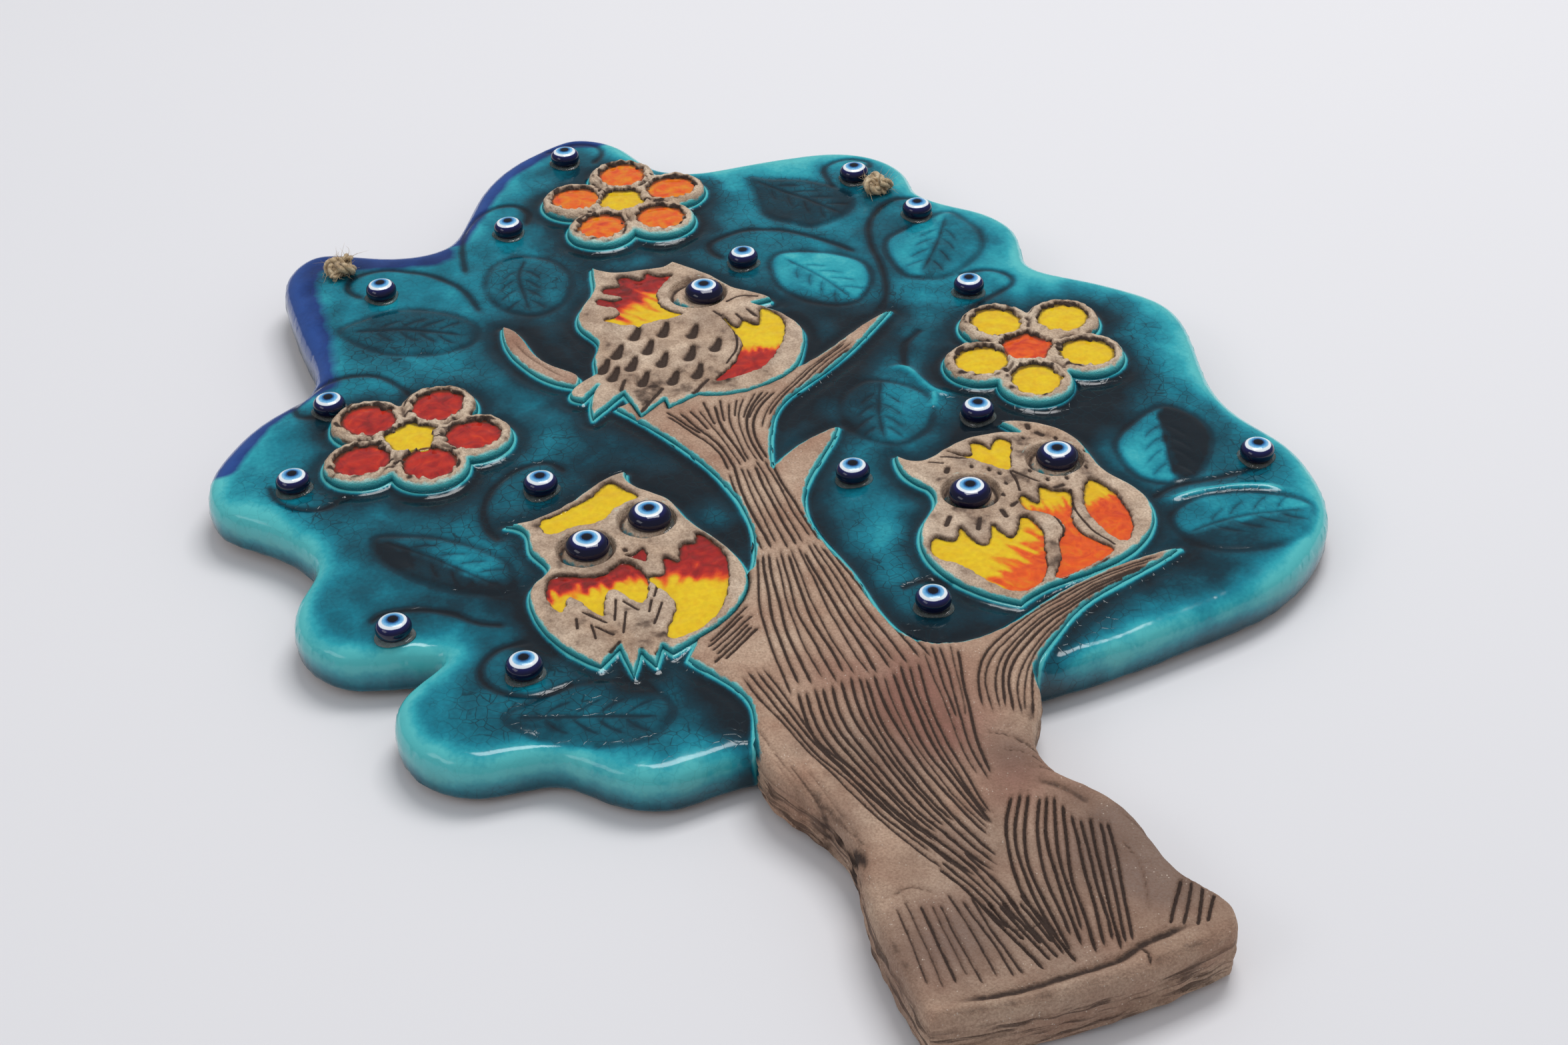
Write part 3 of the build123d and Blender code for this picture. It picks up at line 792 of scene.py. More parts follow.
COBALT_RIM = [
    [(-119, -80), (-108, -64), (-96, -54)],
    [(-93, -50), (-91, -25), (-91, -5), (-88, 9), (-80, 13), (-66, 8), (-52, 5)],
    [(-44, 12), (-36, 26), (-26, 42), (-14, 53), (-2, 58), (7, 57)],
]
COBALT_WIDTH = [5.0, 8.5, 6.0]
# The crown's edge: radius of its rounding, and how far and how wide the face falls towards it
RIM_ROUND = 4.0
RIM_FALL, RIM_REACH = 0.8, 13.0


def leaf_veins(outline, rib):
    """Side veins that run from the rib towards the leaf's edge."""
    line = smooth(rib, 1.0)
    lines = []
    for share in (0.22, 0.4, 0.58, 0.76):
        at = line[int(share * (len(line) - 1))]
        way = line[-1] - line[0]
        way = way / np.linalg.norm(way)
        for turn in (0.75, -0.75):
            out = turned(way[0], way[1], turn)
            reach = 9.5 * sin(pi * (0.12 + 0.76 * share)) ** 0.5
            bend = at + out * reach * 0.55 - way * 0.4
            lines.append(smooth([at + out * 0.9, bend, at + out * reach * 0.92 + way * 0.8], 0.6))
    return [line for line in lines if inside(line, outline).mean() > 0.7]


curl_lines = [smooth(points) for points in CURLS]
ridge_lines = [smooth(points) for points in RIDGES]
leaf_outlines = [smooth(leaf[0], 0.6, closed=True) for leaf in LEAVES]
leaf_ribs = [smooth(leaf[1], 0.6) for leaf in LEAVES]
leaf_sides = [leaf_veins(outline, leaf[1]) for outline, leaf in zip(leaf_outlines, LEAVES)]


def crown_fields(points):
    rim = gap(points, free_rim, 26.0)[0]
    into = (1 - rim / RIM_ROUND).clip(0, 1)
    height = CROWN_TOP - 0.88 * RIM_ROUND * (1 - np.sqrt(1 - into**2))
    to_clay = np.full(len(points), 12.0)
    for loop in clay_loops:
        to_clay = np.minimum(to_clay, gap(points, loop, 12.0, closed=True)[0])
    seats = np.full(len(points), 20.0)
    for place in list(BEADS.values()) + holes:
        seats = np.minimum(seats, np.linalg.norm(points - place, axis=1))
    calm = step_up(4.2, 8.0, seats)
    height -= RIM_FALL * (1 - rim / RIM_REACH).clip(0, 1) ** 2 * (0.2 + 0.8 * calm)
    open_glaze = calm * step_up(0.3, 4.0, to_clay) * step_up(1.0, 6.0, rim)
    height += 0.22 * uneven(points, 46, 1) * open_glaze + 0.08 * uneven(points, 15, 2) * open_glaze
    height += 0.55 * bell(to_clay, 0.75) - 0.3 * bell(to_clay - 2.4, 1.3) * calm

    curl = press(points, curl_lines, 1.15, 0.05)
    banks = press(points, curl_lines, 2.6, 0.05) - curl
    height += (-0.26 * curl + 0.1 * banks.clip(0, 1)) * calm
    ridge = press(points, ridge_lines, 1.3, 0.2)
    height += 0.7 * ridge * calm
    depth = 0.46 + 0.07 * uneven(points, 34, 3) + 0.04 * uneven(points, 11, 4)
    depth += blobs(points, GLAZE_SPOTS) + 0.46 * curl + 0.04 * banks - 0.45 * ridge
    for outline, rib, sides, leaf in zip(leaf_outlines, leaf_ribs, leaf_sides, LEAVES):
        near = np.flatnonzero(((points > outline.min(0) - 4) & (points < outline.max(0) + 4)).all(1))
        if not len(near):
            continue
        local = points[near]
        deep = depth_in(local, outline, 4.0)
        body = step_up(-0.2, 1.6, deep)
        edge = bell(deep, 1.1)
        veins = np.maximum(press(local, [rib], 0.7, 0.1), 0.8 * press(local, sides, 0.6, 0.25))
        ends = np.asarray(leaf[1][-1], float) - np.asarray(leaf[1][0], float)
        start = local - np.asarray(leaf[1][0], float)
        across = (ends[0] * start[:, 1] - ends[1] * start[:, 0]) / np.linalg.norm(ends)
        tone = leaf[3] + (leaf[2] - leaf[3]) * step_up(-1.8, 1.8, across + 0.6 * uneven(local, 5, 6))
        height[near] += (0.16 * body - 0.17 * edge - 0.2 * veins * body) * calm[near]
        depth[near] += tone * body + 0.24 * edge + 0.28 * veins * body
    # Deeper glaze pooled around the clay pieces, with painted shade at their foot.
    depth += 0.46 * bell(to_clay, 5.4) * step_up(0.4, 1.5, to_clay)
    depth = depth - 0.8 * bell(to_clay, 0.6)
    broad = 1 + 0.5 * step_up(-150, -110, points[:, 1])
    depth -= 0.34 * bell(rim, 4.5) + 0.17 * broad * bell(rim, 7.0 * broad)
    cobalt = np.zeros(len(points))
    for places, width in zip(COBALT_RIM, COBALT_WIDTH):
        away = gap(points, smooth(places, 2.0), 3 * width)[0]
        cobalt = np.maximum(cobalt, 1 - step_up(0.35 * width, 1.25 * width, away))
    return {"height": height, "depth": depth, "cobalt": cobalt}


def crown_marks():
    """Mesh points that follow the rim, the curls, the leaves and the clay's edges."""
    rows = [beside(divide(free_rim, 1.1, False), [-0.1, -0.35, -0.75, -1.3, -2.0, -2.8, -3.8, -5.0, -6.4])]
    rows[0] = rows[0][gap(rows[0], free_rim, 1.0)[0] > 0.1]
    for line in curl_lines + ridge_lines:
        rows.append(beside(divide(line, 0.8, False), [-1.5, -0.85, -0.4, 0.0, 0.4, 0.85, 1.5]))
    for outline, rib, sides in zip(leaf_outlines, leaf_ribs, leaf_sides):
        rows.append(beside(divide(outline, 0.9), [-1.3, -0.55, 0.0, 0.55, 1.3], closed=True))
        for line in [rib] + sides:
            rows.append(beside(divide(line, 0.8, False), [-0.5, 0.0, 0.5]))
    for loop in clay_loops:
        rows.append(beside(divide(loop, 0.8), [0.05, 0.5, 1.0, 1.7, 2.6], closed=True))
    return np.vstack(rows)


relief(
    "glazed_crown", ["crown_slab"], [crown_loop] + hole_loops, crown_fields,
    [(0.12, 0.15), (0.2, 0.4), (0.12, 0.66), (0.0, 0.82), (-0.3, 0.93), (-0.9, 1.0)],
    GLAZE, 1.5, 0.8, crown_marks(), rough=0.1, back_material=BACK_CLAY,
)

# ---------------------------------------------------------------- the combed trunk

# Comb strokes: left guide, right guide, how many teeth, depth in mm
COMBS = [
    ([(-13, -95), (-8, -104), (-3.5, -116), (-3, -129)], [(20, -94), (11, -103), (7.5, -113),
     (7.5, -127)], 15, 0.5),
    ([(8, -114), (15, -101), (29, -88.5), (46, -76)], [(10, -118), (19, -105), (33, -92), (45, -82)],
     6, 0.5),
    ([(-3, -124), (-4, -141), (-4.5, -163)], [(7.5, -122), (8, -140), (9, -163)], 8, 0.5),
    ([(-6, -159), (-9, -171), (-12.5, -190), (-13.5, -213)], [(11, -158), (13, -171), (16, -190),
     (19, -211)], 14, 0.5),
    ([(-13, -177), (-20, -182.5), (-29, -189.5)], [(-12, -184), (-19, -190), (-27, -196.5)], 6, 0.6),
    ([(-22, -198), (-20, -209), (-16, -224), (-12, -240), (-5, -260), (2, -276)], [(-17.5, -194),
     (-15.5, -208), (-12.5, -224), (-8, -240), (-1, -258), (5, -275)], 4, 0.5),
    ([(-12, -206), (-13, -222), (-9.5, -240), (-2, -260), (6, -277)], [(4, -206), (2, -222), (3, -240),
     (7, -258), (11.5, -275)], 9, 0.55),
    ([(5.5, -205), (3.8, -222), (5, -240), (9, -258), (12, -268)], [(16, -205), (13.5, -222),
     (12.5, -238), (13, -252), (14, -262)], 6, 0.5),
    ([(18, -203), (16.5, -220), (14.5, -238), (15, -252)], [(26, -203), (22, -220), (18, -238),
     (17, -250)], 5, 0.45),
    ([(84, -190), (66, -192.5), (50, -198), (37, -205), (27, -215), (22, -234)], [(72, -195),
     (57, -202), (46, -210), (38, -219), (31, -236)], 8, 0.5),
    ([(14, -188), (20, -198), (30, -205)], [(20, -186), (26, -194), (36, -199.5)], 3, 0.4),
    ([(20, -251.5), (13.5, -264), (11, -278), (12, -301)], [(29, -256), (23.5, -272), (20, -288),
     (17.5, -302)], 7, 0.8),
    ([(29, -260), (25, -276), (19.5, -302)], [(35, -264), (30, -282), (25, -301)], 5, 0.8),
    ([(2, -277), (8, -302)], [(10.5, -279), (14, -302)], 7, 0.8),
    ([(-3, -266), (2, -278), (6, -289)], [(4, -264), (7, -276), (9.5, -286)], 5, 0.6),
    ([(42, -284), (32, -300)], [(47, -290), (40, -300)], 4, 0.7),
    ([(-13.5, -272), (-14.5, -301)], [(1, -276), (4, -301)], 8, 0.42),
    ([(-26, -226), (-22, -246), (-19, -256)], [(-18, -230), (-15, -246), (-13, -262)], 4, 0.28),
]
FOLDS = [
    ([(20, -233), (25, -237), (30, -244)], 0.55, 0.5),
    ([(21, -240), (26, -242.5), (30, -248)], 0.5, 0.4),
    ([(24, -246), (30, -249), (36, -256)], 0.6, 0.35),
    ([(37, -263), (41, -275), (43, -287)], 0.5, 0.35),
    ([(34, -270), (35, -281), (31, -294)], 0.5, 0.3),
    ([(-24, -214), (-21.5, -230), (-19, -240)], 0.45, 0.3),
    ([(-19, -238), (-15, -252), (-12, -262)], 0.5, 0.35),
    ([(26, -298.5), (27, -302), (26, -305)], 0.5, 0.8),
    ([(4, -287.5), (9, -288.5), (13, -287.5)], 0.7, 0.5),
    ([(-25, -232), (-21, -246), (-15, -260), (-17, -266)], 1.4, 0.9),
    ([(-14, -273), (-9, -271.5), (-4.5, -275)], 0.6, 0.4),
    ([(-15.5, -300.5), (0, -302.5), (20, -301.5), (28, -299), (43, -297)], 1.3, 0.9),
    ([(24, -250), (29, -254), (34, -262)], 1.6, 0.4),
    ([(-3, -170), (-7, -160), (-6.5, -150)], 0.8, 0.2),
]
RED_SPOTS = [
    (12, -213, 12, 0.75), (13, -232, 12, 0.8), (24, -247, 8, 0.6), (5, -222, 8, 0.35),
    (26, -266, 8, 0.4), (-4, -205, 8, 0.3), (8, -195, 7, 0.3), (33, -280, 7, 0.35),
    (17, -255, 7, 0.35), (-10, -286, 9, 0.25),
]
GREY_SPOTS = [
    (-4, -284, 20, 0.3), (26, -276, 20, 0.3), (36, -268, 6, 0.55), (39, -279, 6, 0.55),
    (32, -257, 5, 0.35), (0, -238, 9, 0.5), (-6, -226, 7, 0.35), (24, -242, 6, 0.6),
    (-16, -225, 6, 0.2), (38, -285, 8, 0.35), (4, -262, 8, 0.4), (-11, -290, 10, 0.4),
    (-15, -250, 6, 0.3), (30, -275, 9, 0.5), (40, -288, 10, 0.5), (14, -298, 12, 0.35),
    (38, -268, 7, 0.4), (-2, -284, 9, 0.3),
]
WALL_TOP_SOFT = 1.3
GROOVE_DEPTH = 1.25


def stretch(line, count):
    """The same line with this many evenly spaced points."""
    run = np.linspace(0, 1, len(line))
    at = np.linspace(0, 1, count)
    return np.stack([np.interp(at, run, line[:, 0]), np.interp(at, run, line[:, 1])], 1)


def comb_lines():
    """Every tooth of every comb stroke, with its depth."""
    draw = np.random.default_rng(11)
    lines = []
    for left, right, teeth, depth in COMBS:
        first, last = smooth(left, 1.0), smooth(right, 1.0)
        first, last = (stretch(line, max(len(first), len(last))) for line in (first, last))
        pitch = np.linalg.norm(first - last, axis=1) / teeth
        for tooth in range(teeth):
            share = (tooth + draw.uniform(-0.16, 0.16)) / max(teeth - 1, 1)
            line = first + (last - first) * share
            kept = pitch > (0.0, 0.95, 0.55, 0.95)[tooth % 4]
            cut = draw.integers(0, 4, 2)
            line = line[kept][cut[0]: -1 - cut[1]]
            if len(line) < 5:
                continue
            line = line + 0.22 * np.stack([uneven(line + 40 * tooth, 26, 12), np.zeros(len(line))], 1)
            lines.append((divide(line, 0.5, False), GROOVE_DEPTH * depth * draw.uniform(0.7, 1.15)))
    return lines


comb_strokes = comb_lines()


def trunk_fields(points):
    edge = gap(points, trunk_loop, 9.0, closed=True)[0]
    root = step_up(208, 226, -points[:, 1])
    soft = WALL_TOP_SOFT + 1.1 * root
    into = (1 - edge / soft).clip(0, 1)
    height = TRUNK_TOP - 0.85 * soft * (1 - np.sqrt(1 - into**2))
    height -= 0.35 * (1 - edge / 5).clip(0, 1) ** 2
    height += 0.16 * uneven(points, 17, 21) * step_up(0.5, 3, edge) + 0.07 * uneven(points, 4.5, 22)
    height += 0.3 * uneven(points, 30, 23) * root * step_up(1, 5, edge)
    low_stain = 0.3 * (uneven(points, 17, 24) + 0.45).clip(0, 1) * root
    low_stain += 0.14 * (uneven(points, 6, 25) + 0.2).clip(0, 1)
    height += 0.35 * step_up(300.5, 303, -points[:, 1]) * step_up(0.6, 2.0, edge)
    oxide_and_shade = low_stain * step_up(0.0, 1.2, edge) + 0.18 * bell(edge - 1.0, 1.2) * root
    cut = np.zeros(len(points))
    near_cut = np.full(len(points), 1.4)
    for line, depth in comb_strokes:
        away, along = gap(points, line, 1.4)
        fade = step_up(0, 0.07, along) * step_up(0, 0.1, 1 - along)
        mark = np.exp(-(away / 0.48) ** 2 * 1.2) * fade
        cut = np.maximum(cut, mark * depth)
        near_cut = np.minimum(near_cut, away)
        oxide_and_shade = np.maximum(oxide_and_shade, bell(away, 0.43) * fade * min(1.4, depth * 2.1))
    for places, width, depth in FOLDS:
        mark = press(points, [smooth(places)], width, 0.2)
        cut = np.maximum(cut, depth * mark)
        oxide_and_shade = np.maximum(oxide_and_shade, mark * (0.5 + 0.6 * depth))
    height -= cut
    height += 0.12 * bell(near_cut - 0.75, 0.3)
    by_owl = np.full(len(points), 6.0)
    for name in OWLS:
        by_owl = np.minimum(by_owl, gap(points, owl_loops[name][0], 6.0, closed=True)[0])
    # A dark joint where the owls sit on the trunk, then painted shade a few mm around them.
    oxide_and_shade = np.maximum(oxide_and_shade, 0.95 * bell(by_owl, 1.1))
    oxide_and_shade = np.maximum(oxide_and_shade, 0.26 * bell(by_owl, 3.2))
    beside_glaze = 1 - step_up(220, 230, -points[:, 1])
    fringe = (0.95 - edge / 1.5).clip(0, 1) * beside_glaze * step_up(0.8, 1.6, by_owl)
    red = blobs(points, RED_SPOTS).clip(0, 0.85)
    grey = blobs(points, GREY_SPOTS).clip(0, 0.8)
    return clay_values(height, oxide_and_shade, fringe, red, grey)


def clay_values(height, oxide_and_shade, fringe, red=0.0, grey=0.0):
    """A clay piece's fields: its height, and where it is darkened by oxide and painted shade, lapped by
    glaze, reddened or greyed.
    """
    red, grey = (np.zeros(len(height)) + amount for amount in (red, grey))
    return {"height": height, "oxide_and_shade": oxide_and_shade, "fringe": fringe, "red": red, "grey": grey}


def low_foot(points):
    """Just inside the crown's glaze, so that the glaze laps over the clay's foot."""
    return np.full(len(points), CLAY_FOOT)


def trunk_foot(points):
    """The root block reaches the flat back; above it the trunk is only let in to the glaze."""
    return CLAY_FOOT * step_up(ROOT_LINE - 0.6, ROOT_LINE + 0.2, points[:, 1])


def trunk_marks():
    rows = [beside(divide(line, 0.55, False), [-0.46, 0.0, 0.46]) for line, _ in comb_strokes]
    rows.append(beside(divide(trunk_loop, 0.5), [-0.12, -0.35, -0.7, -1.2], closed=True))
    return np.vstack(rows)


relief(
    "combed_trunk", ["trunk"], [divide(trunk_loop, 0.5)], trunk_fields,
    [(0.06, 0.06), (0.26, 0.13), (-0.12, 0.19), (0.22, 0.27), (-0.2, 0.34), (0.16, 0.42), (-0.06, 0.5),
     (0.24, 0.57), (-0.26, 0.64), (0.04, 0.72), (-0.34, 0.8), (-0.2, 0.87), (-0.8, 0.94), (-1.4, 1.0)],
    COMBED_CLAY, 0.7, 0.42, trunk_marks(), trunk_foot, rough=0.26,
)


def twig_fields(points):
    edge = gap(points, twig_loop, 4.0, closed=True)[0]
    height = TRUNK_TOP - 1.0 * (1 - np.sqrt(1 - (1 - edge / 1.2).clip(0, 1) ** 2))
    groove = press(points, [smooth([(-40.2, -48), (-38, -58), (-33.5, -68), (-29.8, -74)])], 0.45, 0.2)
    height -= 0.4 * groove
    tail = bell(gap(points, owl_loops["owl_top"][0], 4.0, closed=True)[0], 1.0)
    oxide_and_shade = np.maximum(0.7 * groove, tail)
    fringe = (1.0 - edge / 1.0).clip(0, 1)
    return clay_values(height, oxide_and_shade, fringe, red=0.25)


RELIEF_WALL = [(0.06, 0.2), (0.14, 0.5), (0.3, 0.8), (0.5, 1.0)]
relief(
    "combed_twig", ["left_twig"], [divide(twig_loop, 0.45)], twig_fields, RELIEF_WALL,
    COMBED_CLAY, 0.45, foot=low_foot, rough=0.06,
)

# ---------------------------------------------------------------- owls


def stroke(x, z, length, lean, bow=0.0):
    """Short tool mark centred on a place, leaning this many degrees from upright."""
    way = np.array([sin(radians(lean)), cos(radians(lean))]) * length / 2
    side = np.array([way[1], -way[0]]) * bow
    return smooth([(x, z) - way, (x, z) + side, (x, z) + way], 0.4)


def scratches(*rows):
    """Straight tool marks, each (x1, z1, x2, z2)."""
    return [smooth([(x1, z1), (x2, z2)], 0.4) for x1, z1, x2, z2 in rows]


FEATHERS = [
    (-8.5, -57.5), (-1, -58), (6, -61.5), (-15, -64.5), (-7, -65), (2.5, -71.5), (10, -69.5),
    (-20, -70), (-13, -71.5), (-5, -72), (-18.5, -74.5), (-12, -79.5), (-4.5, -81), (2, -80.5),
]
# Each owl's marks: lines, half width and depth
OWL_MARKS = {
    "owl_top": [
        ([stroke(x, z, 5.4, 28, 0.08) for x, z in FEATHERS], 2.2, 1.3, 0.0, 0.6),
        (scratches((13.5, -54.5, 14.5, -57.5), (22, -56.5, 23.3, -61), (18.6, -58, 19.4, -62)), 0.6, 0.5),
        ([smooth([(14.6, -59), (15.6, -64), (15.4, -69), (13.6, -75), (9.5, -80.5)])], 0.5, 0.3),
        ([smooth([(18, -51), (22, -49.5), (26.5, -51)])], 0.45, 0.3),
        (scratches((-16.5, -94, -9, -86), (-2, -90.5, 3, -86), (-19, -83, -17, -79)),
         0.7, 0.5),
    ],
    "owl_left": [
        (scratches((-51, -170, -51.5, -173.3), (-49, -168, -45, -173.5),
                   (-48.3, -173, -48.5, -178), (-47.5, -174, -44.5, -177.8),
                   (-41, -166, -43, -173), (-39.5, -167, -37.2, -171),
                   (-40, -171, -42.2, -177.8), (-31, -164.5, -32.7, -168),
                   (-33.5, -169, -35, -172.5), (-31.5, -170.5, -35, -177)), 0.42, 0.55),
        ([stroke(-34.5, -148.8, 0.8, 0)], 0.8, 0.7),
        (scratches((-46.5, -183, -43.8, -180.5), (-40.8, -187, -39.6, -184),
                   (-37.2, -187, -35.4, -185)), 0.55, 0.6),
    ],
    "owl_right": [
        ([stroke(x, z, 0.6, 0) for x, z in (
            (52, -144), (55.5, -146.5), (57.3, -148.8), (57.3, -153), (54.8, -157.5), (64.3, -150.5),
            (67, -155), (77.5, -153.5), (71.5, -156), (68, -137), (75.5, -139.5), (80, -147))], 0.65, 0.6),
        ([stroke(46, -143.5, 1.6, 30), stroke(72.5, -136.5, 1.8, -30), stroke(71, -132.5, 1.6, 10),
          stroke(68.5, -158.5, 2.0, 80)], 0.95, 0.7),
        ([smooth([(60, -149), (59.9, -153), (59.2, -157)]),
          smooth([(60.5, -149), (62.3, -152), (64.8, -155.5)])], 0.42, 0.6),
        (scratches((46.5, -138, 52, -141), (43, -139, 46, -140.5)), 0.35, 0.35),
        ([stroke(39, -163, 3.2, 35), stroke(45.5, -166, 4.0, 25), stroke(52.5, -164, 2.8, 0),
          stroke(56, -161.5, 1.6, 60)], 0.85, 0.6),
        ([smooth([(57.5, -162), (62, -167), (63, -174), (61, -178.5)]),
          smooth([(70.3, -161), (68.4, -168), (69, -177), (71.5, -184)])], 0.4, 0.3),
        (scratches((50, -195, 53, -192.5), (64, -190, 68, -188.4)), 0.6, 0.6),
    ],
}
# Painted shade on the owls' clay, under wings and bellies: x, z, radius, amount
OWL_SHADES = [
    (-10, -85, 8, 0.34), (5, -87, 7, 0.34), (-17, -88, 6, 0.4), (14, -66, 4, 0.2), (-19, -62, 5, 0.2),
    (14, -36, 6, 0.2), (-53, -166, 5, 0.3), (-40, -180, 7, 0.3), (-34, -141, 4, 0.2),
    (44, -150, 6, 0.28), (60, -152, 6, 0.32), (68, -138, 7, 0.26), (58, -185, 6, 0.3),
    (78, -152, 6, 0.3), (46, -162, 5, 0.3),
]
SOCKET_CREAM = {"owl_top": 1.0, "owl_left": 0.8, "owl_right": 0.3}
# Depth of the cells' floors, and how far the enamel lies below the CAD pool's top, in mm
CELL_DROP = 2.0
POOL_DROP = 0.45


def is_socket(loop):
    """A socket is the one kind of cell that is round."""
    centre = loop.mean(0)
    reach = np.linalg.norm(loop - centre, axis=1)
    return reach.max() - reach.min() < 0.6 and reach.mean() > 5


def owl_fields(name):
    outline, cells = owl_loops[name][0], owl_loops[name][1:]

    def fields(points):
        edge = gap(points, outline, 8.0, closed=True)[0]
        height = OWL_TOP - 1.15 * (1 - np.sqrt(1 - (1 - edge / 1.35).clip(0, 1) ** 2))
        height -= 0.25 * (1 - edge / 5).clip(0, 1) ** 2
        height += 0.07 * uneven(points, 6, 31) + 0.12 * uneven(points, 16, 32) * step_up(1, 4, edge)
        oxide_and_shade = 0.24 + 0.18 * uneven(points, 8, 33) + 0.1 * uneven(points, 2.6, 36)
        # Painted highlight: lighter along the rounded outline. Then painted shade under the wings and
        # bellies.
        oxide_and_shade -= 0.2 * bell(edge, 1.5)
        oxide_and_shade += blobs(points, OWL_SHADES) * step_up(0.6, 2.4, edge)
        fringe = (0.95 - edge / 1.25).clip(0, 1)
        for cell in cells:
            if is_socket(cell):
                centre = cell.mean(0)
                radius = np.linalg.norm(cell - centre, axis=1).mean()
                away = np.linalg.norm(points - centre, axis=1)
                drop = 1 - step_up(radius - 0.75, radius + 0.35, away)
                bowl = 1 - step_up(radius - 2.4, radius - 1.5, away)
                height -= 1.75 * drop - 0.85 * bowl
                height += 0.22 * bell(away - radius - 0.7, 0.6)
                ring = bell(away - radius + 1.0, 0.75)
                oxide_and_shade = np.maximum(oxide_and_shade, ring)
                oxide_and_shade -= 0.5 * SOCKET_CREAM[name] * bowl
                skew = step_up(-0.6, 0.8, (points - centre) @ np.array([-0.7, -0.7]) / radius)
                fringe = np.maximum(fringe, 0.55 * skew * bell(away - radius + 1.6, 1.1))
                halo = bell(away - radius - 0.9, 0.8)
                upper = step_up(0.0, 0.9, (points - centre)[:, 1] / radius)
                fringe = np.maximum(fringe, 0.36 * halo * upper)
            else:
                deep = depth_in(points, cell, 3.0)
                deep = deep + 0.16 * uneven(points, 2.2, 37)
                height -= CELL_DROP * step_up(-0.35, 0.5, deep)
                height += 0.24 * bell(deep + 0.9, 0.6)
                oxide_and_shade = np.maximum(oxide_and_shade, 0.95 * bell(deep - 0.05, 0.36))
                # A dark rim around each cell: oxide in the cut, with painted shade heavier along the cell's
                # upper wall.
                above = step_up(-0.2, 0.8, (points - cell.mean(0))[:, 1] / 7)
                oxide_and_shade = np.maximum(oxide_and_shade, (0.34 + 0.3 * above) * bell(deep + 0.3, 0.9))
                oxide_and_shade = np.maximum(oxide_and_shade, 1.2 * step_up(0.1, 0.5, deep))
        for lines, width, depth, *ends in OWL_MARKS[name]:
            mark = press(points, lines, width, *(ends or [0.0]))
            height -= depth * mark
            oxide_and_shade = np.maximum(oxide_and_shade, mark * 1.35)
        return clay_values(height, oxide_and_shade, fringe, grey=(0.25 * uneven(points, 14, 35)).clip(0, 0.4))

    return fields


def relief_marks(loops, lines=()):
    rows = [beside(divide(loops[0], 0.45), [-0.1, -0.35, -0.7, -1.15], closed=True)]
    for cell in loops[1:]:
        rows.append(beside(divide(cell, 0.5), [-0.5, -0.25, 0.0, 0.25, 0.5, 0.9], closed=True))
    rows += [beside(divide(line, 0.5, False), [-0.45, 0.0, 0.45]) for line in lines]
    return np.vstack(rows)


for owl in OWLS:
    lines = [line for group in OWL_MARKS[owl] for line in group[0]]
    relief(
        owl + "_clay", [owl], [divide(owl_loops[owl][0], 0.4)], owl_fields(owl), RELIEF_WALL,
        OWL_CLAY, 0.7, 0.42, relief_marks(owl_loops[owl], lines), low_foot, rough=0.07,
    )

# ---------------------------------------------------------------- flowers


# How far each flower's cells have worn wider than their cut, in mm
CELL_GROWTH = 0.6


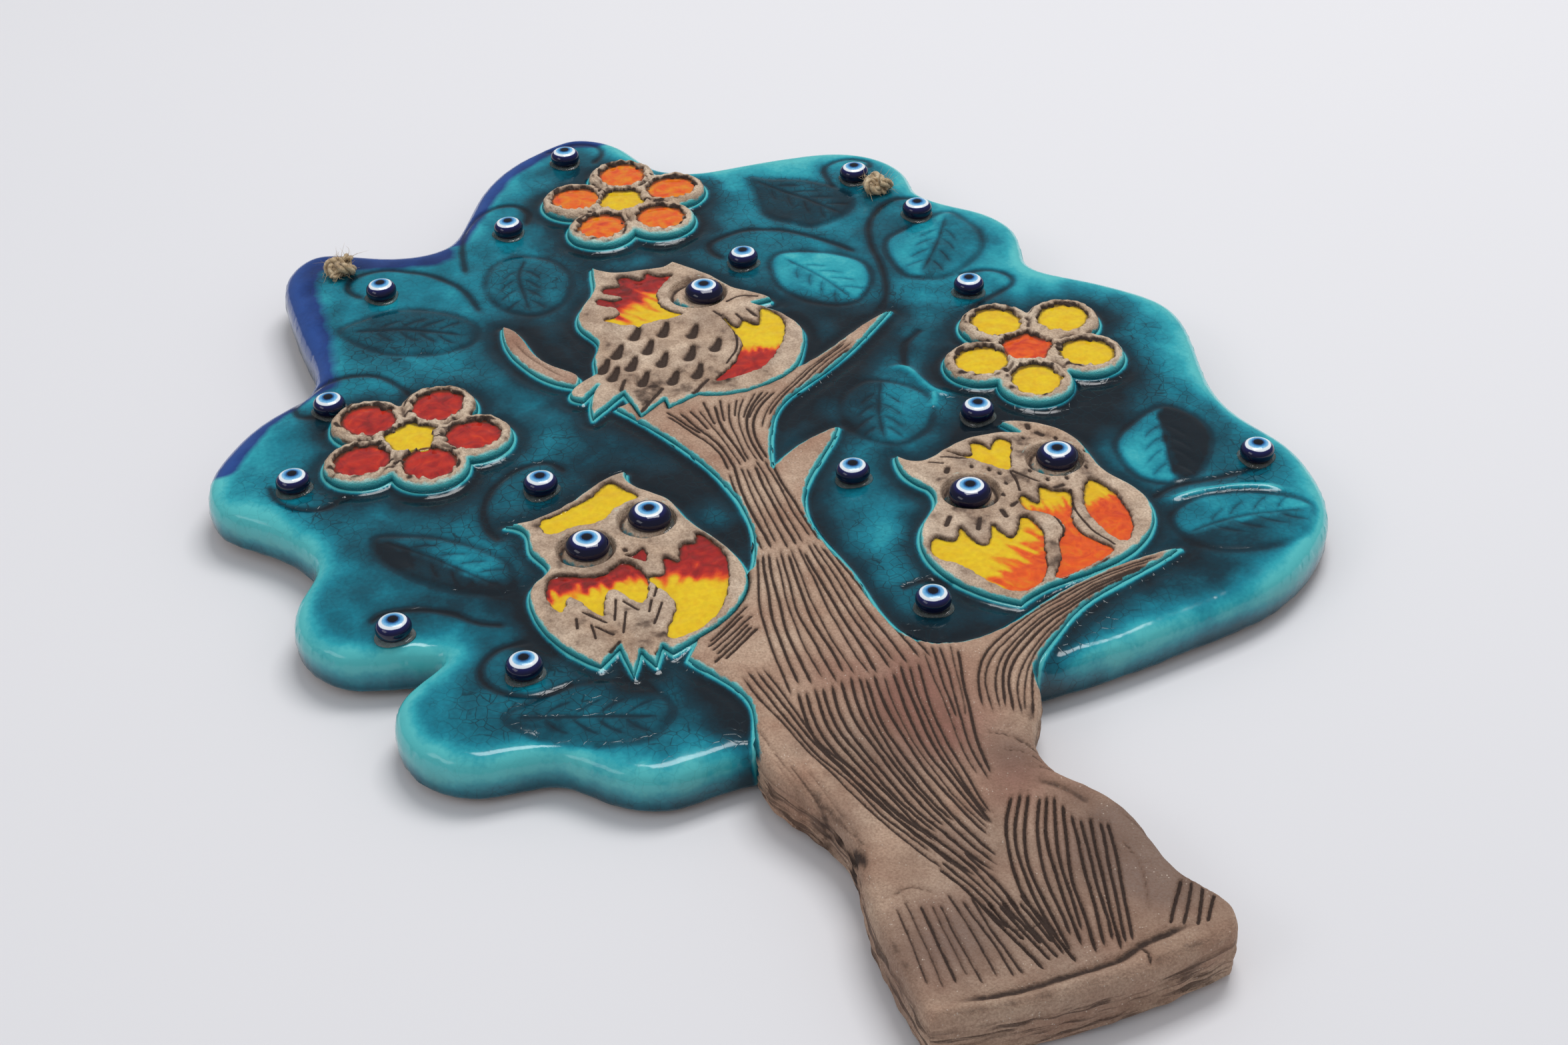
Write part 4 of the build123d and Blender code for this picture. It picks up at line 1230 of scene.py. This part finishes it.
def flower_fields(name):
    outline, cells = flower_loops[name][0], flower_loops[name][1:]
    heart = min(cells, key=lambda loop: np.linalg.norm(loop.mean(0) - outline.mean(0)))
    centre = heart.mean(0)
    petals = [cell.mean(0) for cell in cells if cell is not heart]

    def fields(points):
        edge = gap(points, outline, 6.0, closed=True)[0]
        height = FLOWER_TOP - 1.9 * (1 - np.sqrt(1 - (1 - edge / 2.1).clip(0, 1) ** 2))
        height += 0.12 * uneven(points, 3.6, 41) + 0.1 * uneven(points, 9, 42)
        oxide_and_shade = np.full(len(points), 0.1)
        nearest = np.full(len(points), 9.0)
        for cell in cells:
            deep = depth_in(points, cell, 6.0) + CELL_GROWTH + 0.5 * uneven(points, 2.8, 44)
            nearest = np.minimum(nearest, np.where(deep < 0, -deep, 0))
            height -= CELL_DROP * step_up(-0.6, 0.5, deep)
            height += 0.34 * bell(deep + 1.1, 0.7)
            wall = bell(deep, 0.5)
            # Dark cell walls: oxide in the cut, with painted shade heavier along each cell's upper wall.
            above = step_up(-0.3, 0.8, (points - cell.mean(0))[:, 1] / 6)
            oxide_and_shade = np.maximum(oxide_and_shade, wall * (0.7 + 0.5 * above))
            oxide_and_shade = np.maximum(oxide_and_shade, 1.2 * step_up(0.1, 0.6, deep))
            oxide_and_shade = np.maximum(oxide_and_shade, 0.75 * above * bell(deep + 0.3, 0.8))
        order = np.argsort([np.arctan2(*(p - centre)[::-1]) for p in petals])
        creases = []
        for a, b in zip(order, np.roll(order, -1)):
            middle = (petals[a] + petals[b]) / 2 - centre
            middle = middle / np.linalg.norm(middle)
            creases.append(smooth([centre + middle * 8.2, centre + middle * 14.5], 0.5))
        crease = press(points, creases, 0.9, 0.2)
        height -= 0.75 * crease
        oxide_and_shade = np.maximum(oxide_and_shade, 0.8 * crease)
        spoke = np.arctan2(points[:, 1] - centre[1], points[:, 0] - centre[0])
        streaks = uneven(np.stack([spoke * 9, edge * 0.9], 1), 1.7, 43)
        oxide_and_shade += 0.6 * streaks.clip(0, 2) * step_up(0.5, 1.4, edge) * (1 - step_up(1.6, 3.0, nearest))
        oxide_and_shade += 0.3 * (1 - step_up(0.2, 1.9, edge))
        oxide_and_shade += 0.3 * streaks.clip(0, 2) * (1 - step_up(0.8, 2.4, edge))
        height -= 0.1 * streaks.clip(0, 2)
        low_side = step_up(-0.1, 0.9, -(points - centre)[:, 1] / 20)
        fringe = (0.75 + 0.3 * low_side - edge / (1.0 + 0.9 * low_side)).clip(0, 1.1)
        return clay_values(height, oxide_and_shade, fringe)

    return fields


for flower in FLOWERS:
    relief(
        flower + "_clay", [flower], [divide(flower_loops[flower][0], 0.4)], flower_fields(flower),
        RELIEF_WALL, FLOWER_CLAY, 0.6, 0.42, relief_marks(flower_loops[flower]), low_foot,
        rough=0.08,
    )

# ---------------------------------------------------------------- enamel pools


def slope(points, cold, hot):
    """0 at the cold place and 1 at the hot place, along the line between them."""
    cold, hot = np.asarray(cold, float), np.asarray(hot, float)
    way = hot - cold
    return ((points - cold) @ way) / (way @ way)


def flames(points, cold, hot, low, high, waver, size, seed):
    """Heat that climbs between two places with ragged tongues."""
    way = np.asarray(hot, float) - np.asarray(cold, float)
    way = way / np.linalg.norm(way)
    streaks = np.stack([points @ np.array([-way[1], way[0]]), 0.3 * (points @ way)], 1)
    climb = slope(points, cold, hot) + waver * uneven(streaks, 0.5 * size, seed)
    return low + (high - low) * step_up(0.15, 0.85, climb)


# Flame pools: cold place, hot place, coolest and hottest value, waver, size of the tongues, seed
FLAME_POOLS = {
    "owl_top_flame": ((1, -52), (-9, -37), 0.06, 0.92, 0.2, 7, 52),
    "owl_top_breast": ((19, -71.5), (17.5, -79), 0.04, 0.84, 0.12, 4, 53),
    "owl_left_wing_near": ((-44, -163.5), (-44, -156.5), 0.05, 0.9, 0.22, 5, 55),
    "owl_left_wing_far": ((-24, -167.5), (-21.5, -158.5), 0.05, 0.88, 0.2, 6, 56),
    "owl_right_chest": ((44, -178), (50, -185), 0.07, 0.56, 0.45, 7, 59),
    "owl_right_belly": ((64, -161.5), (63.5, -168), 0.12, 0.57, 0.25, 5, 60),
    "owl_right_wing": ((75.5, -163.5), (76.5, -168.5), 0.14, 0.6, 0.25, 4, 61),
}
# Pools of one colour: record's slot, heat, how much it varies, size of the clouds, seed
EVEN_POOLS = {
    "owl_left_brow": ("yellow_enamel", 0.05, 0.02, 6, 54),
    "owl_left_beak": ("red_enamel", 0.9, 0.03, 3, 57),
    "owl_right_brow": ("yellow_enamel", 0.08, 0.03, 5, 58),
    "flower_top_petals": ("orange_enamel", 0.5, 0.05, 6, 62),
    "flower_top_centre": ("yellow_enamel", 0.1, 0.04, 5, 63),
    "flower_left_petals": ("red_enamel", 0.82, 0.05, 6, 64),
    "flower_left_centre": ("yellow_enamel", 0.06, 0.03, 5, 65),
    "flower_right_petals": ("yellow_enamel", 0.08, 0.04, 6, 66),
    "flower_right_centre": ("red_orange_enamel", 0.62, 0.04, 5, 67),
}
OWL_SPREAD, FLOWER_SPREAD = 0.45, 1.5


def pool_heat(node, points):
    """How hot a pool's colour is at each point, from yellow (0) to dark red (1)."""
    if node in FLAME_POOLS:
        return flames(points, *FLAME_POOLS[node])
    _, heat, change, size, seed = EVEN_POOLS[node]
    return heat + change * uneven(points, size, seed)


def pool_mesh(node, loop, top, spread):
    """One poured pool, its surface dipping from the walls and its foot inside the clay."""
    grown = divide(beside(divide(loop, 0.4), [spread], closed=True), 0.4)
    marks = beside(grown, [-0.3, -0.65, -1.1, -1.7], closed=True)
    marks = marks[depth_in(marks, grown, 2.0) > 0.25]
    front, triangles = sheet([grown], 0.9, 0.6, marks)
    count = len(grown)
    low = beside(grown, [-0.2], closed=True)
    back, back_triangles = sheet([low], 2.5, 2.5, None)
    places = np.vstack([front, back])
    deep = depth_in(places, grown, 4.0) - (spread - 0.25) * 0.6
    height = top + 0.24 * bell(deep, 0.6) + 0.16 * step_up(0.8, 3.5, deep)
    height += 0.06 * uneven(places, 5, 71)
    height[len(front):] = top - 0.8
    k = np.arange(count)
    n = (k + 1) % count
    first = len(front)
    walls = np.stack([k, first + k, first + n, n], 1).tolist()
    faces = triangles.tolist() + walls + (back_triangles + first)[:, ::-1].tolist()
    centre = grown.mean(0)
    # Edges darken where the enamel runs thin; the upper edge more, as painted shade under the cell's upper
    # wall.
    upper = step_up(-0.2, 1.0, (places - centre)[:, 1] / max(4.0, np.ptp(grown[:, 1]) / 2))
    thin_edge_and_shade = bell(deep, 0.5) + 0.45 * upper * bell(deep, 1.3)
    solid = np.stack([places[:, 0], -height, places[:, 1]], 1)
    return solid, faces, pool_heat(node, places), thin_edge_and_shade


for node in [*FLAME_POOLS, *EVEN_POOLS]:
    spread = OWL_SPREAD if node.startswith("owl") else FLOWER_SPREAD
    top = face_height(node) - POOL_DROP
    pools = [pool_mesh(node, loop, top, spread) for loop in section(node, top)]
    places, faces = join([(pool[0], pool[1]) for pool in pools])
    warmth, thin_edge_and_shade = (np.concatenate([pool[k] for pool in pools]) for k in (2, 3))
    values = {"warmth": warmth, "thin_edge_and_shade": thin_edge_and_shade}
    add_piece(node + "_pool", "plaque", places, faces, ENAMEL, [node], values)

# ---------------------------------------------------------------- glass eye beads

# The bead's side view: share of its radius, share of its height
BEAD_PROFILE = [
    (0.0, 0.0), (0.5, 0.0), (0.72, 0.0), (0.84, 0.06), (0.93, 0.16), (0.985, 0.3), (1.0, 0.43),
    (0.985, 0.56), (0.93, 0.68), (0.84, 0.78), (0.75, 0.845), (0.66, 0.89), (0.615, 0.91),
    (0.57, 0.928), (0.52, 0.942), (0.46, 0.956), (0.42, 0.965), (0.34, 0.977), (0.25, 0.988),
    (0.19, 0.993), (0.1, 0.998), (0.0, 1.0),
]
BEAD_SEGMENTS = 56
COLLAR_PROFILE = [(0.0, 0.0), (1.12, 0.0), (1.08, 0.12), (0.98, 0.26), (0.9, 0.34), (0.82, 0.3), (0.0, 0.3)]
GLUE_TALL, GLUE_SINK = 1.6, 0.22


def lathe(profile, segments, centre, base, radius, tall, tilt, draw):
    """A turned form that faces the front, and each point's share of the radius on its face."""
    angle = np.arange(segments) * 2 * pi / segments
    oval = 1 + 0.012 * np.cos(2 * (angle - draw.uniform(0, pi)))
    places, ring = [], []
    for share, up in profile[1:-1]:
        reach = share * radius * oval
        lift = up * tall
        lean = tilt * up
        x = centre[0] + reach * np.cos(angle) + lean[0]
        z = centre[1] + reach * np.sin(angle) + lean[1]
        places.append(np.stack([x, np.full(segments, -(base + lift)), z], 1))
        ring.append(np.full(segments, share if up > 0.43 else 1.0))
    places.append([[centre[0], -base, centre[1]]])
    places.append([[centre[0] + tilt[0], -(base + tall), centre[1] + tilt[1]]])
    ring.append([1.0, 0.0])
    rings = len(profile) - 2
    faces = ring_faces(rings, segments)
    bottom, tip = rings * segments, rings * segments + 1
    for j in range(segments):
        n = (j + 1) % segments
        faces.append((bottom, n, j))
        faces.append((tip, (rings - 1) * segments + j, (rings - 1) * segments + n))
    return np.vstack(places), faces, np.concatenate(ring)


draw = np.random.default_rng(81)
glue_parts = []
for name, centre in BEADS.items():
    low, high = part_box(name)
    radius, tall, base = (high.x - low.x) / 2 / MM, (high.y - low.y) / MM, -high.y / MM
    tilt = draw.uniform(-0.16, 0.16, 2)
    places, faces, ring = lathe(BEAD_PROFILE, BEAD_SEGMENTS, centre, base, radius, tall, tilt, draw)
    ring = ring * (1.2 if "eye" in name else 1.0)
    add_piece("glass_" + name, "plaque", places, faces[::-1], GLASS, [name], {"ring": ring})
    lean = draw.uniform(-0.3, 0.3, 2)
    places, faces, _ = lathe(COLLAR_PROFILE, 40, centre, base - GLUE_SINK, radius, GLUE_TALL, lean, draw)
    out = places[:, [0, 2]] - centre
    squeezed = 1 + 0.07 * np.sin(3 * np.arctan2(out[:, 1], out[:, 0]) + 20 * tilt[0])
    places[:, [0, 2]] = centre + out * squeezed[:, None]
    glue_parts.append((places, faces))
places, faces = join(glue_parts)
add_piece("bead_glue", "plaque", places, faces, GLUE, ["bead_adhesive"])

# ---------------------------------------------------------------- jute cord and knots

CORD_R = (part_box("hanging_cord")[1].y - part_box("hanging_cord")[0].y) / 2 / MM
CORD_Y = (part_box("hanging_cord")[1].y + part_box("hanging_cord")[0].y) / 2 / MM
CORD_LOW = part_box("hanging_cord")[0].z / MM + CORD_R
LAY_PITCH = 8.5
PLIES = 3
# How far a loose fibre may leave the cord's plane, so that the cord swings clear of the crown
FIBRE_REACH = 1.5
ROPE_START = (0.2, 0.9, 0.3)


def rope(line, radius, draw):
    """Three twisted plies along a 3-D line; also how deep each point lies in the lay."""
    line = divide(line, 0.4, False)
    _, across, other = frames_along(line, ROPE_START)
    run = np.arange(len(line)) * 0.4
    parts, grooves = [], []
    lay = radius * 0.5
    for ply in range(PLIES):
        turn = run * 2 * pi / LAY_PITCH + ply * 2 * pi / PLIES
        centre = line + lay * (np.cos(turn)[:, None] * across + np.sin(turn)[:, None] * other)
        swell = 1 + 0.07 * np.sin(run * 1.7 + ply * 2) + 0.05 * draw.standard_normal(len(run))
        places, faces = tube(centre, radius * 0.53 * swell, 9, 0.55)
        parts.append((places, faces))
        out = np.linalg.norm(places - np.repeat(line, 9, 0), axis=1) / radius
        grooves.append((1 - out) * 1.6)
    return parts, grooves


def fibres(line, radius, count, length, draw):
    """Loose hairs that leave the cord and bend away."""
    along, across, other = frames_along(line, ROPE_START)
    parts = []
    for _ in range(count):
        k = draw.integers(2, len(line) - 2)
        angle = draw.uniform(0, 2 * pi)
        out = across[k] * cos(angle) + other[k] * sin(angle)
        way = out * draw.uniform(0.5, 1.0) + along[k] * draw.uniform(-1, 1)
        way /= np.linalg.norm(way)
        curl = draw.standard_normal(3) * 0.35
        reach = length * draw.uniform(0.35, 1.0)
        t = np.linspace(0, 1, 6)[:, None]
        hair = line[k] + out * radius * 0.8 + way * reach * t + curl * reach * t**2
        if line[k][1] > 0:  # behind the crown
            hair[:, 1] = hair[:, 1].clip(CORD_Y - FIBRE_REACH, CORD_Y + FIBRE_REACH)
        parts.append(tube(hair, 0.075 * (1.15 - t[:, 0]), 4))
    return parts


def cord_piece(name, body, nodes, ropes, hairs):
    parts, grooves = [], []
    for rope_parts, rope_grooves in ropes:
        parts += rope_parts
        grooves += rope_grooves
    for hair in hairs:
        parts.append(hair)
        grooves.append(np.zeros(len(hair[0])))
    places, faces = join(parts)
    return add_piece(name, body, places, faces, JUTE, nodes, {"groove": np.concatenate(grooves)})


def hanging_line():
    """Slack loop between the two holes, drooping behind the crown."""
    half = (holes[1][0] - holes[0][0]) / 2
    tall = (holes[1][1] - holes[0][1]) / 2
    sag = 1.6
    t = np.linspace(-1, 1, 90)
    drop = -CORD_LOW * (np.cosh(sag) - np.cosh(sag * t)) / (np.cosh(sag) - 1)
    middle = (holes[0] + holes[1]) / 2
    return np.stack([middle[0] + t * half, np.full(len(t), CORD_Y), middle[1] + t * tall - drop], 1)


def overhand(centre, turn, size):
    """Tight overhand knot that lies on the glaze, then the cord down through its hole."""
    t = np.linspace(0.35, 2 * pi - 0.1, 90)
    flat_x = size * (np.sin(t) + 2 * np.sin(2 * t)) / 3
    flat_z = size * (np.cos(t) - 2 * np.cos(2 * t)) / 3
    lift = CROWN_TOP + 2.3 + 0.9 * np.sin(3 * t)
    x, z = turned(flat_x, flat_z, turn)
    return np.stack([centre[0] + x, -lift, centre[1] + z], 1)


draw = np.random.default_rng(91)
hang = hanging_line()
cord_piece("jute_hanging_cord", "cord", ["hanging_cord"], [rope(hang, CORD_R, draw)],
           fibres(divide(hang, 0.8, False)[8:-8], CORD_R, 240, 3.2, draw))
for side, node, turn in ((0, "knot_left", 0.6), (1, "knot_right", -0.9)):
    centre = holes[side]
    knot = overhand(centre, turn, 3.5)
    back_end = 0.35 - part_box(node)[1].y / MM
    stub = np.array([[centre[0], -up, centre[1]] for up in (CROWN_TOP + 2.6, 5.0, back_end)])
    tip = knot[-1] + np.array([[0, 0, 0], [1.5, 0.4, -1.2], [3.2, 1.2, -2.6]]) * (1 if side else -1, 1, 1)
    hairs = fibres(divide(knot, 0.6, False), 1.2, 90, 4.6, draw)
    hairs += fibres(divide(tip, 0.3, False), 0.5, 46, 5.5, draw)
    ropes = [rope(knot, 1.45, draw), rope(stub, 1.25, draw), rope(tip, 1.2, draw)]
    cord_piece("jute_" + node, "plaque", [node], ropes, hairs)

# ---------------------------------------------------------------- table, light and camera

CAMERA_PLACE = Vector((-0.1207, -0.3430, -0.5822))
CAMERA_TURN, CAMERA_TILT, CAMERA_ROLL = radians(16), radians(36.31), radians(-2.06)
CAMERA_LENS = 55.1
ROOM_LIGHT, ROOM_MIRRORED = 0.52, 0.2


def add_camera():
    ahead = cos(CAMERA_TILT)
    forward = Vector((sin(CAMERA_TURN) * ahead, sin(CAMERA_TILT), cos(CAMERA_TURN) * ahead))
    level = Vector((cos(CAMERA_TURN), 0, -sin(CAMERA_TURN)))
    rise = level.cross(forward)
    right = cos(CAMERA_ROLL) * level + sin(CAMERA_ROLL) * rise
    up = cos(CAMERA_ROLL) * rise - sin(CAMERA_ROLL) * level
    camera = bpy.data.objects.new("camera", bpy.data.cameras.new("camera"))
    camera.data.lens, camera.data.sensor_width = CAMERA_LENS, 36
    turn = Matrix((right, up, -forward)).transposed()
    camera.matrix_world = Matrix.Translation(CAMERA_PLACE) @ turn.to_4x4()
    bpy.context.scene.collection.objects.link(camera)
    bpy.context.scene.camera = camera


def add_table():
    """Pale table behind the plaque, seen only from its front side."""
    paint = Paint("table", 0.55, specular=0.2)
    cloud = paint.noise(3.0, 2.0)
    paint.done(paint.mix(cloud, rgb(228, 228, 232), rgb(232, 231, 234)))
    output = paint.tree.nodes["Material Output"]
    clear = paint.add("BsdfTransparent", {})
    facing = paint.add("NewGeometry", {}, "Backfacing")
    both = paint.add("MixShader", {0: facing, 1: paint.shader.outputs[0], 2: clear})
    paint.tree.links.new(both, output.inputs["Surface"])
    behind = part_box("hanging_cord")[1].y + 0.0002
    half, foot = 4.0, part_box("trunk")[0].z
    lean = behind / -foot
    corners = ((-half, -half), (half, -half), (half, half), (-half, half))
    rows = [(x, 0.0003 + lean * (z - foot), z) for x, z in corners]
    mesh = bpy.data.meshes.new("table")
    mesh.from_pydata(rows, [], [(0, 1, 2, 3)])
    mesh.materials.append(paint.material)
    table = bpy.data.objects.new("table", mesh)
    bpy.context.scene.collection.objects.link(table)
    table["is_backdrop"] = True
    return table


def add_light(name, place, target, size, power, colour=(1, 1, 1), mirrored=True, lighting=True):
    light = bpy.data.lights.new(name, "AREA")
    light.shape = "RECTANGLE"
    light.size, light.size_y = size
    light.energy, light.color = power, colour
    lamp = bpy.data.objects.new(name, light)
    lamp.location = place
    lamp.visible_glossy, lamp.visible_diffuse = mirrored, lighting
    lamp.rotation_euler = (Vector(target) - Vector(place)).to_track_quat("-Z", "Y").to_euler()
    bpy.context.scene.collection.objects.link(lamp)
    return lamp


def add_studio(table):
    """Soft light from the front, and one behind for the back; mirror-like surfaces see a darker room."""
    world = bpy.data.worlds.new("studio")
    world.use_nodes = True
    tree = world.node_tree
    glossy = tree.nodes.new("ShaderNodeLightPath").outputs["Is Glossy Ray"]
    strength = tree.nodes.new("ShaderNodeMapRange")
    tree.links.new(glossy, strength.inputs["Value"])
    strength.inputs["To Min"].default_value = ROOM_LIGHT
    strength.inputs["To Max"].default_value = ROOM_MIRRORED
    background = tree.nodes["Background"]
    background.inputs["Color"].default_value = (0.95, 0.97, 1.0, 1)
    tree.links.new(strength.outputs["Result"], background.inputs["Strength"])
    bpy.context.scene.world = world
    middle = (0.0, 0.0, -0.12)  # of the plaque
    add_light("window", (0.45, -1.3, 0.35), middle, (0.8, 0.5), 11.5, (1, 0.99, 0.98), mirrored=False)
    add_light("window_glint", (0.25, -1.4, 0.12), middle, (0.9, 0.45), 9.0, lighting=False)
    add_light("fill", (-1.3, -1.0, -0.4), middle, (0.5, 0.8), 2.0)
    back = add_light("back", (0.0, 2.0, -0.12), middle, (0.3, 0.3), 18, mirrored=False)
    back.data.cycles.max_bounces = 0
    unshaded = bpy.data.collections.new("back_light_ignores")
    unshaded.objects.link(table)
    back.light_linking.blocker_collection = unshaded
    unshaded.collection_objects[0].light_linking.link_state = "EXCLUDE"
    bpy.context.scene.view_settings.view_transform = "Standard"


add_camera()
add_studio(add_table())

low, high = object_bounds()
